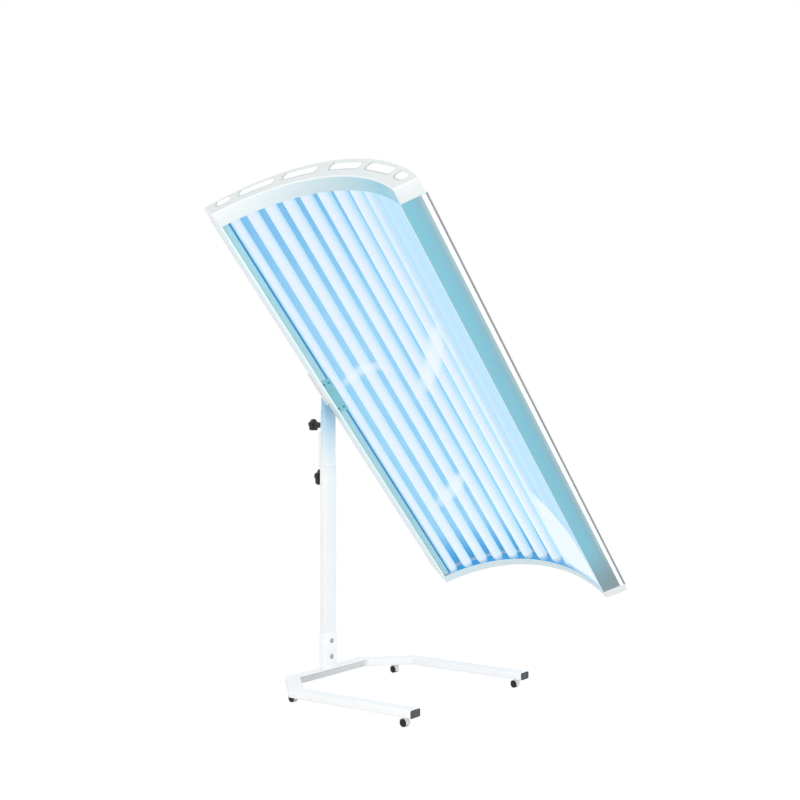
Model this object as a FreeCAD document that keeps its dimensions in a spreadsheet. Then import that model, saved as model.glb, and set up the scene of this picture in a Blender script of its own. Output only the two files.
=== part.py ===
"""Tiltable sunbed canopy on a two-stage telescopic mast and a castored C-shaped base.

Frame: origin on the floor under the mast, +X along the legs, +Z up. Millimetres.
The canopy is drawn in its own frame and then turned into place:
x as in the part's frame, y = depth from the lamp side to the back, z = along the lamps.
"""
import FreeCAD, Part
import math
import os
import re
import Sketcher
from FreeCAD import Placement, Rotation, Vector

SIZES = {
    # base
    "tube_width": 50.0,
    "tube_height": 25.0,
    "tube_wall": 1.5,
    "crossbar_inner_x": 25.5,
    "crossbar_half": 185.0,
    "corner_run": 123.5,
    "leg_end_x": 617.0,
    "plug_lip": 2.5,
    "plug_depth": 18.0,
    "joint_gap": 0.05,
    # casters
    "caster_height": 33.0,
    "wheel_radius": 12.5,
    "wheel_width": 7.0,
    "web_width": 6.0,
    "axle_radius": 2.5,
    "caster_trail": 10.0,
    "stem_radius": 4.0,
    "stem_length": 16.0,
    "hood_wall": 1.7,
    "hood_clear": 0.8,
    "rear_caster_x": 93.0,
    "front_caster_x": 587.5,
    "running_gap": 0.05,
    "side_gap": 0.4,
    # mast
    "outer_x": 25.0,
    "outer_y": 65.0,
    "outer_wall": 1.3,
    "outer_top": 775.0,
    "stage_gap": 0.2,
    "middle_wall": 1.3,
    "middle_bottom": 390.0,
    "middle_top": 975.0,
    "head_wall": 1.5,
    "head_bottom": 630.0,
    "head_rise": 46.0,
    "collar_height": 4.0,
    "collar_gap": 0.08,
    "sleeve_wall": 2.5,
    "sleeve_height": 128.0,
    "foot_bolt_low": 40.0,
    "foot_bolt_high": 96.0,
    "foot_bolt_radius": 5.0,
    "stop_depth": 12.0,
    "stop_room": 15.0,
    # height clamps
    "lower_clamp_z": 738.0,
    "upper_clamp_z": 927.0,
    "boss_radius": 11.0,
    "boss_length": 9.0,
    "screw_radius": 4.9,
    "screw_clear": 0.08,
    "lower_knob_radius": 30.0,
    "lower_knob_start": 3.5,
    "upper_knob_radius": 22.0,
    "upper_knob_start": 39.0,
    "knob_thick": 19.0,
    # gas spring
    "gas_radius": 7.5,
    "gas_bore": 6.4,
    "gas_rod": 4.0,
    "gas_offset_y": 14.0,
    "gas_bottom": 111.0,
    "gas_top": 420.0,
    "gas_pin_z": 436.0,
    # pivot
    "canopy_tilt": 44.5,
    "pivot_z": 1134.0,
    "pivot_along": 111.0,
    "pivot_depth": 113.0,
    "shaft_radius": 10.0,
    "bush_wall": 2.5,
    "bush_flange": 16.0,
    "flange_thick": 2.0,
    "pivot_gap": 0.06,
    "washer_thick": 4.3,
    "bracket_thick": 8.0,
    "bracket_length": 150.0,
    "bracket_tail": 32.0,
    "wing_start": 5.0,
    "wing_reach": 50.0,
    "shaft_tail": 35.0,
    "tilt_knob_radius": 21.0,
    # canopy section
    "canopy_gap": 4.5,
    "front_depth": 50.5,
    "shield_chord": 695.5,
    "shield_rise": 122.0,
    "side_run": 71.0,
    "side_depth": 47.25,
    "shell_room": 8.55,
    "cap_wall": 2.0,
    "cap_plate": 3.0,
    "rail_wall": 2.0,
    "lip_angle": 0.8,
    "lip_thick": 2.0,
    "slot_inset_angle": 0.15,
    "flange_drop": 8.6,
    "flange_angle": 4.1,
    "root_angle": 1.76,
    "shell_margin": 5.15,
    "shell_thick": 2.0,
    "sheet_gap": 0.2,
    "shield_thick": 4.0,
    "shield_tuck": 8.0,
    "trim_width": 19.0,
    "trim_thick": 1.8,
    "trim_inset": 1.5,
    # lamps
    "lamp_count": 12,
    "lamp_margin": 4.29,
    "lamp_room": 10.2,
    "lamp_radius": 19.0,
    "lamp_wall": 0.8,
    "lamp_length": 1778.0,
    "lamp_cap": 16.0,
    "pin_radius": 1.2,
    "pin_reach": 7.0,
    "pin_half_pitch": 6.35,
    "holder_radius": 15.0,
    "holder_thick": 13.0,
    "bulkhead_thick": 2.0,
    "bulkhead_room": 4.2,
    "foot_room": 1.4,
    "reflector_room": 5.2,
    "reflector_thick": 1.0,
    "reflector_margin": 2.66,
    # electrics
    "ballast_length": 280.0,
    "ballast_width": 40.0,
    "ballast_height": 20.0,
    "ballast_gap": 0.6,
    "ballast_start": 60.0,
    "ballast_step": 10.0,
    "terminal_length": 70.0,
    "terminal_width": 24.0,
    "terminal_height": 16.0,
    "gland_angle": 26.0,
    "gland_along": -60.0,
    "gland_bore": 4.5,
    "gland_radius": 9.0,
    "gland_out": 16.0,
    "gland_in": 8.0,
    "fan_size": 58.0,
    "fan_thick": 13.0,
    "fan_bore": 26.0,
    "fan_angle": 23.3,
    "fan_offset": 45.4,
    "fan_room": 3.4,
    # vents in the end caps
    "vent_offset": 54.4,
    "vent_end_inset": 4.36,
    "vent_next_inset": 15.36,
    "vent_inner_angle": 8.4,
    "vent_short": 4.6,
    "vent_long": 11.6,
    "vent_height": 32.0,
    "vent_corner": 7.0,
    "vent_thick": 1.6,
    "grille_slot": 3.0,
    # bracket bolts
    "bolt_radius": 2.5,
    "bolt_head": 4.5,
    "bolt_clear": 0.15,
    "bolt_along": 58.0,
    "bolt_row_a": 0.95,
    "bolt_row_b": 2.9,
    "nut_thick": 5.0,
    "nut_gap": 0.6,
    "bolt_tail": 3.0,
    "plate_thick": 1.5,
}

# Sizes that follow from the others, from the mast outwards.
FRONT_R = "((shield_chord ^ 2 / 4 + shield_rise ^ 2) / (2 * shield_rise))"
FRONT_ANGLE = "asin(shield_chord / 2 / %s)" % FRONT_R
DERIVED = {
    "hood_radius": "(wheel_radius + hood_clear + hood_wall)",
    "stop_top": "(upper_clamp_z - boss_radius - stop_room)",
    "head_top": "(pivot_z + head_rise)",
    "middle_x": "(outer_x - 2 * outer_wall - 2 * stage_gap)",
    "middle_y": "(outer_y - 2 * outer_wall - 2 * stage_gap)",
    "head_x": "(middle_x - 2 * middle_wall - 2 * stage_gap)",
    "head_y": "(middle_y - 2 * middle_wall - 2 * stage_gap)",
    "bracket_plate_x": "(head_x / 2 + flange_thick + washer_thick + 0.2)",
    "front_edge_x": "(bracket_plate_x + bracket_thick + canopy_gap + side_run)",
    "head_end": "(holder_thick + bulkhead_thick + fan_room + fan_thick + vent_thick + cap_plate)",
    "foot_end": "(holder_thick + bulkhead_thick + foot_room + vent_thick + cap_plate)",
    "canopy_half": "((lamp_length + head_end + foot_end) / 2)",
    "head_cap_length": "(head_end + lamp_cap)",
    "foot_cap_length": "(foot_end + lamp_cap)",
    "lamp_centre": "((foot_end - head_end) / 2)",
    "shield_back": "(%s + lip_thick + sheet_gap + shield_thick)" % FRONT_R,
    "lamp_circle": "(shield_back + lamp_room + lamp_radius)",
    "lamp_pitch": "(2 * (%s - lamp_margin * 1 deg) / (lamp_count - 1))" % FRONT_ANGLE,
    "reflector_radius": "(lamp_circle + lamp_radius + reflector_room)",
    "ballast_seat": "(reflector_radius + reflector_thick + ballast_gap)",
    "back_depth": "(ballast_seat + ballast_height + shell_room + shell_thick - %s)" % FRONT_R,
    "back_rise": "(shield_rise + back_depth - side_depth)",
    "reflector_half": "(%s - reflector_margin * 1 deg)" % FRONT_ANGLE,
    "fan_circle": "(%s + fan_offset)" % FRONT_R,
    "vent_circle": "(%s + vent_offset)" % FRONT_R,
}
VENTS = (
    ("(-%s + vent_end_inset * 1 deg)" % FRONT_ANGLE, "vent_short"),
    ("(-%s + vent_next_inset * 1 deg)" % FRONT_ANGLE, "vent_long"),
    ("(-vent_inner_angle * 1 deg)", "vent_long"),
    ("(vent_inner_angle * 1 deg)", "vent_long"),
    ("(%s - vent_next_inset * 1 deg)" % FRONT_ANGLE, "vent_long"),
    ("(%s - vent_end_inset * 1 deg)" % FRONT_ANGLE, "vent_short"),
)

doc = FreeCAD.newDocument("sunbed_canopy")
dims = doc.addObject("Spreadsheet::Sheet", "dims")
for row, (alias, size) in enumerate(SIZES.items(), start=1):
    dims.set("A%d" % row, alias)
    dims.set("B%d" % row, str(size))
    dims.setAlias("B%d" % row, alias)
doc.recompute()

NODES = {}
WORD = re.compile(r"[a-z][a-z_]+")


def spelled(expression):
    """Expression text with every derived size written out in sheet aliases."""
    text = str(expression)
    while any(word in DERIVED for word in WORD.findall(text)):
        text = WORD.sub(lambda m: DERIVED.get(m.group(0), m.group(0)), text)
    return text


def linked(expression):
    """Expression text with every sheet alias written out as dims.alias."""
    return WORD.sub(lambda m: "dims." + m.group(0) if m.group(0) in SIZES else m.group(0),
                    spelled(expression))


def number(expression):
    """Present value of an expression over the sheet."""
    value = dims.evalExpression(spelled(expression))
    return float(getattr(value, "Value", value))


def bind(obj, **links):
    """Tie properties to the sheet; a double underscore stands for a dot."""
    for prop, expression in links.items():
        obj.setExpression(prop.replace("__", "."), linked(expression))
    return obj


def node(label, obj):
    """Register a finished piece under the name its file will have."""
    obj.Label = label
    NODES[label] = obj
    return obj


def move(obj, x="0", y="0", z="0", axis=None, angle="0"):
    """Bound placement: an offset and, where asked, a turn about an axis."""
    if axis is not None:
        obj.Placement = Placement(Vector(), Rotation(Vector(*axis), 30))
        obj.setExpression("Placement.Rotation.Angle", linked(angle))
    return bind(obj, Placement__Base__x=x, Placement__Base__y=y, Placement__Base__z=z)


def on_canopy(obj):
    """Turn a piece drawn in the canopy's frame into the tilted canopy."""
    return move(
        obj,
        y="pivot_along * cos(canopy_tilt) - pivot_depth * sin(canopy_tilt)",
        z="pivot_z - pivot_depth * cos(canopy_tilt) - pivot_along * sin(canopy_tilt)",
        axis=(1, 0, 0),
        angle="90 - canopy_tilt",
    )


# ---------------------------------------------------------------- primitives
def box(name, x, y, z, at=("0", "0", "0")):
    """Block centred on `at` in x and y, standing on its z."""
    obj = doc.addObject("Part::Box", name)
    bind(obj, Length=x, Width=y, Height=z)
    return move(obj, "%s - (%s) / 2" % (at[0], x), "%s - (%s) / 2" % (at[1], y), at[2])


AXES = {"x": ((0, 1, 0), "90"), "-x": ((0, 1, 0), "-90"), "y": ((1, 0, 0), "-90"), "-y": ((1, 0, 0), "90")}


def rod(name, radius, length, at=("0", "0", "0"), along="z"):
    """Cylinder from `at` along an axis."""
    obj = doc.addObject("Part::Cylinder", name)
    bind(obj, Radius=radius, Height=length)
    axis, angle = AXES.get(along, (None, "0"))
    return move(obj, *at, axis=axis, angle=angle)


def cone(name, radius_a, radius_b, length, at=("0", "0", "0"), along="z"):
    """Cone frustum from `at` along an axis."""
    obj = doc.addObject("Part::Cone", name)
    bind(obj, Radius1=radius_a, Radius2=radius_b, Height=length)
    axis, angle = AXES.get(along, (None, "0"))
    return move(obj, *at, axis=axis, angle=angle)


def fuse(name, *parts):
    obj = doc.addObject("Part::MultiFuse", name)
    obj.Shapes = list(parts)
    return obj


def cut(name, base, tool):
    obj = doc.addObject("Part::Cut", name)
    obj.Base = base
    obj.Tool = tool
    return obj


def group(name, *parts):
    """Several separate solids kept as one node."""
    obj = doc.addObject("Part::Compound", name)
    obj.Links = list(parts)
    return obj


# ------------------------------------------------------------------ outlines
def meet(first, second, near):
    """Corner where two lines or circles cross, nearest to `near`."""
    if first[0] == "circle" and second[0] == "line":
        first, second = second, first
    if second[0] == "line":
        (_, p, d), (_, q, e) = first, second
        turn = d.x * e.y - d.y * e.x
        step = ((q.x - p.x) * e.y - (q.y - p.y) * e.x) / turn
        return p + d * step
    (_, p, d), (_, centre, radius) = first, second
    foot = p + d * ((centre - p) * d)
    reach = math.sqrt(radius ** 2 - (foot - centre).Length ** 2)
    return min((foot + d * reach, foot - d * reach), key=lambda point: (point - near).Length)


def outline(sketch, corners, arcs=None, wall=None):
    """Closed anticlockwise outline whose corners are bound to the sheet.

    arcs maps a segment's index to (radius, turn), turn 1 when it runs anticlockwise.
    wall adds a second outline inside it, that far from every side.
    """
    arcs = arcs or {}
    points = [Vector(number(x), number(y), 0) for x, y in corners]
    count = len(points)
    segments = []
    curves = []
    for i, start in enumerate(points):
        end = points[(i + 1) % count]
        step = end - start
        if i not in arcs:
            index = sketch.addGeometry(Part.LineSegment(start, end))
            segments.append((index, 1, 2))
            unit = Vector(step.x, step.y, 0).normalize()
            curves.append(("line", start, unit))
            continue
        radius = number(arcs[i][0])
        left = Vector(-step.y, step.x, 0).normalize()
        centre = (start + end) * 0.5 + left * arcs[i][1] * math.sqrt(radius ** 2 - step.Length ** 2 / 4)
        index, ends = add_arc(sketch, centre, radius, start, end, arcs[i][1])
        segments.append((index,) + ends)
        curves.append(("circle", centre, radius))
        tie(sketch, ("Radius", index), radius, arcs[i][0])
    close(sketch, segments)
    for (index, first, _), (x, y) in zip(segments, corners):
        tie(sketch, ("DistanceX", -1, 1, index, first), number(x), x)
        tie(sketch, ("DistanceY", -1, 1, index, first), number(y), y)
    if wall is not None:
        inset(sketch, points, segments, curves, arcs, wall)


def add_arc(sketch, centre, radius, start, end, turn):
    circle = Part.Circle(centre, Vector(0, 0, 1), radius)
    first, last = (start, end) if turn > 0 else (end, start)
    angle_a = math.atan2(first.y - centre.y, first.x - centre.x)
    angle_b = math.atan2(last.y - centre.y, last.x - centre.x)
    index = sketch.addGeometry(Part.ArcOfCircle(circle, angle_a, angle_b))
    return index, ((1, 2) if turn > 0 else (2, 1))


def tie(sketch, what, value, expression):
    """Add a sized constraint and bind it to the sheet."""
    index = sketch.addConstraint(Sketcher.Constraint(*what, value))
    sketch.setExpression("Constraints[%d]" % index, linked(expression))


def close(sketch, segments):
    for (index_a, _, end), (index_b, start, _) in zip(segments, segments[1:] + segments[:1]):
        sketch.addConstraint(Sketcher.Constraint("Coincident", index_a, end, index_b, start))


def inset(sketch, points, segments, curves, arcs, wall):
    """Inner outline parallel to the outer one."""
    depth = number(wall)
    inner = []
    for i, (kind, place, size) in enumerate(curves):
        if kind == "line":
            inner.append(("line", place + Vector(-size.y, size.x, 0) * depth, size))
        else:
            inner.append(("circle", place, size - arcs[i][1] * depth))
    corners = [meet(inner[i - 1], inner[i], point) for i, point in enumerate(points)]
    made = []
    for i, start in enumerate(corners):
        end = corners[(i + 1) % len(corners)]
        if inner[i][0] == "line":
            index = sketch.addGeometry(Part.LineSegment(start, end))
            made.append((index, 1, 2))
            sketch.addConstraint(Sketcher.Constraint("Parallel", index, segments[i][0]))
            tie(sketch, ("Distance", index, 1, segments[i][0]), depth, wall)
            continue
        index, ends = add_arc(sketch, inner[i][1], inner[i][2], start, end, arcs[i][1])
        made.append((index,) + ends)
        sketch.addConstraint(Sketcher.Constraint("Coincident", index, 3, segments[i][0], 3))
        sign = "-" if arcs[i][1] > 0 else "+"
        tie(sketch, ("Radius", index), inner[i][2], "(%s) %s (%s)" % (arcs[i][0], sign, wall))
    close(sketch, made)


def new_sketch(body, name, plane, offset):
    sketch = body.newObject("Sketcher::SketchObject", name)
    origin_plane = [f for f in body.Origin.OriginFeatures if f.Role == plane][0]
    sketch.AttachmentSupport = [(origin_plane, "")]
    sketch.MapMode = "FlatFace"
    sketch.AttachmentOffset = Placement(Vector(0, 0, 1), Rotation())
    sketch.setExpression("AttachmentOffset.Base.z", linked(offset))
    return sketch


def padded(name, corners, length, offset="0", arcs=None, wall=None, plane="XY_Plane"):
    """PartDesign body: one outline, padded from `offset` along the plane's normal."""
    body = doc.addObject("PartDesign::Body", name)
    sketch = new_sketch(body, name + "_outline", plane, offset)
    outline(sketch, corners, arcs, wall)
    pad = body.newObject("PartDesign::Pad", name + "_pad")
    pad.Profile = sketch
    bind(pad, Length=length)
    sketch.Visibility = False
    return body


def hollowed(body, name, corners, wall, length, offset, arcs=None):
    """Pocket whose sides stay a wall's thickness inside the given outline."""
    sketch = new_sketch(body, name + "_outline", "XY_Plane", offset)
    outline(sketch, corners, arcs, wall)
    for index in range(len(corners)):
        sketch.toggleConstruction(index)
    pocket = body.newObject("PartDesign::Pocket", name)
    pocket.Profile = sketch
    pocket.Reversed = True
    bind(pocket, Length=length)
    return pocket


def pocketed(body, name, corners, length, offset):
    """Pocket cut from `offset` along the plane's normal."""
    sketch = new_sketch(body, name + "_outline", "XY_Plane", offset)
    outline(sketch, corners)
    pocket = body.newObject("PartDesign::Pocket", name)
    pocket.Profile = sketch
    pocket.Reversed = True
    bind(pocket, Length=length)
    return pocket


def rectangle(x, y, centre_x="0", centre_y="0"):
    """Anticlockwise rectangle of full size x by y."""
    low_x = "%s - (%s) / 2" % (centre_x, x)
    low_y = "%s - (%s) / 2" % (centre_y, y)
    high_x = "%s + (%s) / 2" % (centre_x, x)
    high_y = "%s + (%s) / 2" % (centre_y, y)
    return [(low_x, low_y), (high_x, low_y), (high_x, high_y), (low_x, high_y)]


# ---------------------------------------------------------------------- base
FRAME_TOP = "(caster_height + tube_height)"
OUTER_BAR_X = "(crossbar_inner_x - tube_width)"
MITRE = "(tube_width * tan(22.5))"
LEG_INNER_Y = "(crossbar_half + corner_run)"
LEG_MID_Y = "(crossbar_half + corner_run + tube_width / 2)"


def tube(name, corners, ends):
    """Rectangular base tube: a plan outline, hollowed between its two walls.

    ends are the two segment indices that are open ends, so the hollow runs through them.
    """
    body = padded(name, corners, "tube_height", "caster_height")
    hollow = thin(corners, ends)
    pocketed(body, name + "_hollow", hollow, "tube_height - 2 * tube_wall", "caster_height + tube_wall")
    return body


def thin(corners, ends):
    """Plan outline moved in by the tube wall on its two long sides only."""
    points = [Vector(number(x), number(y), 0) for x, y in corners]
    result = []
    for i, (x, y) in enumerate(corners):
        towards = (i + 1) % 4 if i in ends else (i - 1) % 4
        end = points[towards] - points[i]
        side = points[(i - 1) % 4] - points[i] if i in ends else points[(i + 1) % 4] - points[i]
        slant = abs(end.normalize().cross(side.normalize()).z)
        shift = "tube_wall * %.6f" % (1.0 / slant)
        result.append(("%s + %s * %.6f" % (x, shift, end.x), "%s + %s * %.6f" % (y, shift, end.y)))
    return result


def base_frame():
    half = "crossbar_half"
    outer_half = "(crossbar_half + %s)" % MITRE
    corner_x = "(crossbar_inner_x + corner_run)"
    outer_corner_x = "(%s - %s)" % (corner_x, MITRE)
    outer_y = "(%s + tube_width)" % LEG_INNER_Y
    gap = "joint_gap"
    bar = [
        (OUTER_BAR_X, "-" + outer_half),
        ("crossbar_inner_x", "-" + half),
        ("crossbar_inner_x", half),
        (OUTER_BAR_X, outer_half),
    ]
    crossbar = tube("crossbar_body", bar, (0, 2))
    node("rear_crossbar", crossbar)
    for label, sign in (("left", ""), ("right", "-")):
        corner = [
            ("crossbar_inner_x", "%s(%s + %s)" % (sign, half, gap)),
            (corner_x, "%s(%s + %s)" % (sign, LEG_INNER_Y, "0")),
            (outer_corner_x, "%s(%s)" % (sign, outer_y)),
            (OUTER_BAR_X, "%s(%s + %s)" % (sign, outer_half, gap)),
        ]
        leg = [
            ("%s + %s" % (corner_x, gap), "%s(%s)" % (sign, LEG_INNER_Y)),
            ("leg_end_x", "%s(%s)" % (sign, LEG_INNER_Y)),
            ("leg_end_x", "%s(%s)" % (sign, outer_y)),
            ("%s + %s" % (outer_corner_x, gap), "%s(%s)" % (sign, outer_y)),
        ]
        if sign:
            corner = corner[::-1]
            leg = leg[::-1]
        corner_body = tube("corner_%s_body" % label, corner, (3, 1))
        leg_body = tube("leg_%s_body" % label, leg, (3, 1))
        with_hole("base_corner_" + label, corner_body, "rear_caster_x", "%s(%s)" % (sign, REAR_CASTER_Y))
        with_hole("base_leg_" + label, leg_body, "front_caster_x", "%s(%s)" % (sign, LEG_MID_Y))


REAR_CASTER_Y = "(rear_caster_x - (crossbar_inner_x - tube_width / 2) + crossbar_half + %s / 2)" % MITRE


def with_hole(label, body, x, y):
    """Drill the tube's lower wall for the caster's insert."""
    drill = rod(label + "_drill", "stem_radius + 2", "4", (x, y, "caster_height - 1"))
    node(label, cut(label + "_drilled", body, drill))


def leg_plugs():
    """Pushed-in plastic plugs closing the two open tube ends."""
    plugs = []
    for label, sign in (("left", ""), ("right", "-")):
        y = "%s%s" % (sign, LEG_MID_Y)
        lip = box("plug_lip_" + label, "plug_lip", "tube_width", "tube_height",
                  ("leg_end_x + joint_gap + plug_lip / 2", y, "caster_height"))
        stub = box("plug_stub_" + label, "plug_depth + joint_gap", "tube_width - 2 * tube_wall - 0.3",
                   "tube_height - 2 * tube_wall - 0.3",
                   ("leg_end_x + joint_gap - (plug_depth + joint_gap) / 2", y,
                    "caster_height + tube_wall + 0.15"))
        plugs.append(fuse("plug_" + label, lip, stub))
    node("leg_end_plugs", group("leg_plugs", *plugs))


CASTERS = (
    ("rear_left", "rear_caster_x", REAR_CASTER_Y),
    ("rear_right", "rear_caster_x", "-" + REAR_CASTER_Y),
    ("front_left", "front_caster_x", LEG_MID_Y),
    ("front_right", "front_caster_x", "-" + LEG_MID_Y),
)


def casters():
    """Four twin-wheel casters: insert in the frame, swivelling hood, rolling wheel pair."""
    inserts = []
    for name, x, y in CASTERS:
        sleeve = rod("insert_" + name, "stem_radius + 1.8", "stem_length + 1", (x, y, "caster_height"))
        flange = rod("insert_flange_" + name, "stem_radius + 5", "1.2", (x, y, "caster_height - 1.25"))
        bore = rod("insert_bore_" + name, "stem_radius + running_gap", "stem_length + 5",
                   (x, y, "caster_height - 3"))
        inserts.append(cut("caster_insert_" + name, fuse("insert_solid_" + name, sleeve, flange), bore))
        caster_housing(name, x, y)
        caster_wheels(name, x, y)
    node("caster_inserts", group("caster_insert_group", *inserts))


def caster_housing(name, x, y):
    """Hood over a central web, with the stem it swivels on; the wheels run either side of the web."""
    axle_x = "(%s - caster_trail)" % x
    width = "(web_width + 2 * wheel_width + 2 * side_gap)"
    wheel_top = "(2 * wheel_radius + 1.5)"
    disc = rod("hood_" + name, "hood_radius", width, (axle_x, "%s - %s / 2" % (y, width), "wheel_radius"),
               "y")
    rooms = [
        rod("wheel_room_a_" + name, "hood_radius - hood_wall", width,
            (axle_x, "%s + web_width / 2" % y, "wheel_radius"), "y"),
        rod("wheel_room_b_" + name, "hood_radius - hood_wall", width,
            (axle_x, "%s - web_width / 2" % y, "wheel_radius"), "-y"),
        rod("axle_room_" + name, "axle_radius + running_gap", "4 * wheel_width",
            (axle_x, "%s - 2 * wheel_width" % y, "wheel_radius"), "y"),
        box("hood_open_" + name, "2 * hood_radius", "2 * hood_radius", "2 * wheel_radius",
            ("%s - hood_radius - 0.4 * wheel_radius" % axle_x, y, "-0.5 * wheel_radius")),
        box("hood_low_" + name, "4 * hood_radius", "4 * hood_radius", "0.6 * wheel_radius",
            (axle_x, y, "0")),
        box("hood_under_" + name, "4 * hood_radius", "4 * hood_radius", "10", (axle_x, y, "-10")),
    ]
    hood = cut("hood_shell_" + name, disc, fuse("hood_rooms_" + name, *rooms))
    stem = rod("stem_" + name, "stem_radius", "caster_height + stem_length - %s" % wheel_top,
               (x, y, wheel_top))
    collar = rod("collar_" + name, "stem_radius + 4.5", "caster_height - 2 - %s" % wheel_top,
                 (x, y, wheel_top))
    neck = box("neck_" + name, "caster_trail + 4", "web_width", "wheel_radius",
               ("%s - 3" % x, y, "wheel_radius + 5"))
    node("caster_housing_" + name, fuse("housing_" + name, hood, stem, collar, neck))


def caster_wheels(name, x, y):
    axle_x = "(%s - caster_trail)" % x
    half = "(web_width / 2 + side_gap / 2)"
    near = rod("wheel_a_" + name, "wheel_radius", "wheel_width",
               (axle_x, "%s + %s" % (y, half), "wheel_radius"), "y")
    far = rod("wheel_b_" + name, "wheel_radius", "wheel_width",
              (axle_x, "%s - %s - wheel_width" % (y, half), "wheel_radius"), "y")
    axle = rod("axle_" + name, "axle_radius", "2 * (%s + wheel_width) + 1" % half,
               (axle_x, "%s - %s - wheel_width - 0.5" % (y, half), "wheel_radius"), "y")
    node("caster_wheels_" + name, fuse("wheels_" + name, near, far, axle))


# ---------------------------------------------------------------------- mast
FOOT_BOLTS = ("foot_bolt_low", "foot_bolt_high")


def mast():
    """Foot sleeve, three telescoping rectangular tubes and their guide collars."""
    bolt_room = [
        rod("foot_bolt_room_%d" % i, "foot_bolt_radius + 0.2", "60",
            ("-30", "0", "%s + %s" % (FRAME_TOP, rise)), "x")
        for i, rise in enumerate(FOOT_BOLTS)
    ]
    room = fuse("foot_bolt_rooms", *bolt_room)
    sleeve = padded("sleeve_body", rectangle("outer_x + 2 * sleeve_wall + 0.2",
                                             "outer_y + 2 * sleeve_wall + 0.2"),
                    "sleeve_height", FRAME_TOP + " + joint_gap", wall="sleeve_wall")
    node("post_foot_sleeve", cut("sleeve_drilled", sleeve, room))

    outer = padded("outer_body", rectangle("outer_x", "outer_y"),
                   "outer_top - %s - 2 * joint_gap" % FRAME_TOP,
                   FRAME_TOP + " + joint_gap", wall="outer_wall")
    lower_hole = rod("lower_clamp_hole", "screw_radius + screw_clear", "6",
                     ("-outer_x / 2 - 2", "0", "lower_clamp_z"), "x")
    node("outer_post", cut("outer_drilled", outer, fuse("outer_rooms", room, lower_hole)))

    middle = padded("middle_body", rectangle("middle_x", "middle_y"), "middle_top - middle_bottom",
                    "middle_bottom",
                    wall="middle_wall")
    upper_hole = rod("upper_clamp_hole", "screw_radius + screw_clear", "6",
                     ("-middle_x / 2 - 2", "0", "upper_clamp_z"), "x")
    pin_room = rod("gas_pin_room", "gas_rod - 0.9", "60", ("-30", "gas_offset_y", "gas_pin_z"), "x")
    node("middle_post", cut("middle_drilled", middle, fuse("middle_rooms", upper_hole, pin_room)))

    head = padded("head_body", rectangle("head_x", "head_y"), "head_top - head_bottom", "head_bottom",
                  wall="head_wall")
    bush_hole = rod("bush_hole", "shaft_radius + bush_wall", "60", ("-30", "0", "pivot_z"), "x")
    node("head_post", cut("head_drilled", head, bush_hole))

    collar("lower_guide_collar", "outer_x", "outer_y", "middle_x", "middle_y", "outer_top")
    collar("upper_guide_collar", "middle_x", "middle_y", "head_x", "head_y", "middle_top")

    plug = box("head_plug_lip", "head_x", "head_y", "3", ("0", "0", "head_top + joint_gap"))
    stub = box("head_plug_stub", "head_x - 2 * head_wall - 0.2", "head_y - 2 * head_wall - 0.2", "8",
               ("0", "0", "head_top - 8 + joint_gap"))
    node("head_post_cap", fuse("head_plug", plug, stub))

    stop = box("stop_block", "stop_depth", "middle_y - 4", "stop_top - outer_top - collar_height - 0.3",
               ("-middle_x / 2 - joint_gap - stop_depth / 2", "0", "outer_top + collar_height + 0.3"))
    node("lift_stop_block", stop)


def collar(label, x, y, hole_x, hole_y, top):
    """Plastic guide ring fixed on a tube's mouth; the next tube runs in it."""
    ring = box(label + "_ring", x, y, "collar_height", ("0", "0", top))
    hole = box(label + "_hole", hole_x + " + 2 * collar_gap", hole_y + " + 2 * collar_gap", "30",
               ("0", "0", top + " - 10"))
    node(label, cut(label + "_solid", ring, hole))


def foot_bolts():
    """Two domed through bolts with nuts that clamp the post in its sleeve."""
    face = "(outer_x / 2 + sleeve_wall + 0.15)"
    bolts = []
    for i, rise in enumerate(FOOT_BOLTS):
        z = "%s + %s" % (FRAME_TOP, rise)
        shank = rod("foot_shank_%d" % i, "foot_bolt_radius", "2 * %s + 8" % face,
                    ("-%s - 8" % face, "0", z), "x")
        head = rod("foot_head_%d" % i, "foot_bolt_radius + 3.5", "1.6", (face, "0", z), "x")
        dome = cone("foot_dome_%d" % i, "foot_bolt_radius + 3.5", "foot_bolt_radius - 1", "3",
                    (face + " + 1.6", "0", z), "x")
        nut = rod("foot_nut_%d" % i, "foot_bolt_radius + 3", "7", ("-" + face, "0", z), "-x")
        bolts.append(fuse("foot_bolt_%d" % i, shank, head, dome, nut))
    node("foot_bolts", group("foot_bolt_group", *bolts))


def boss(label, face, z):
    """Round threaded boss welded over a clamp hole."""
    solid = rod(label + "_solid", "boss_radius", "boss_length", ("-%s / 2 - joint_gap" % face, "0", z),
                "-x")
    bore = rod(label + "_bore", "screw_radius + screw_clear", "2 * boss_length",
               ("-%s / 2 + 2" % face, "0", z), "-x")
    node(label, cut(label + "_tapped", solid, bore))


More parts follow.
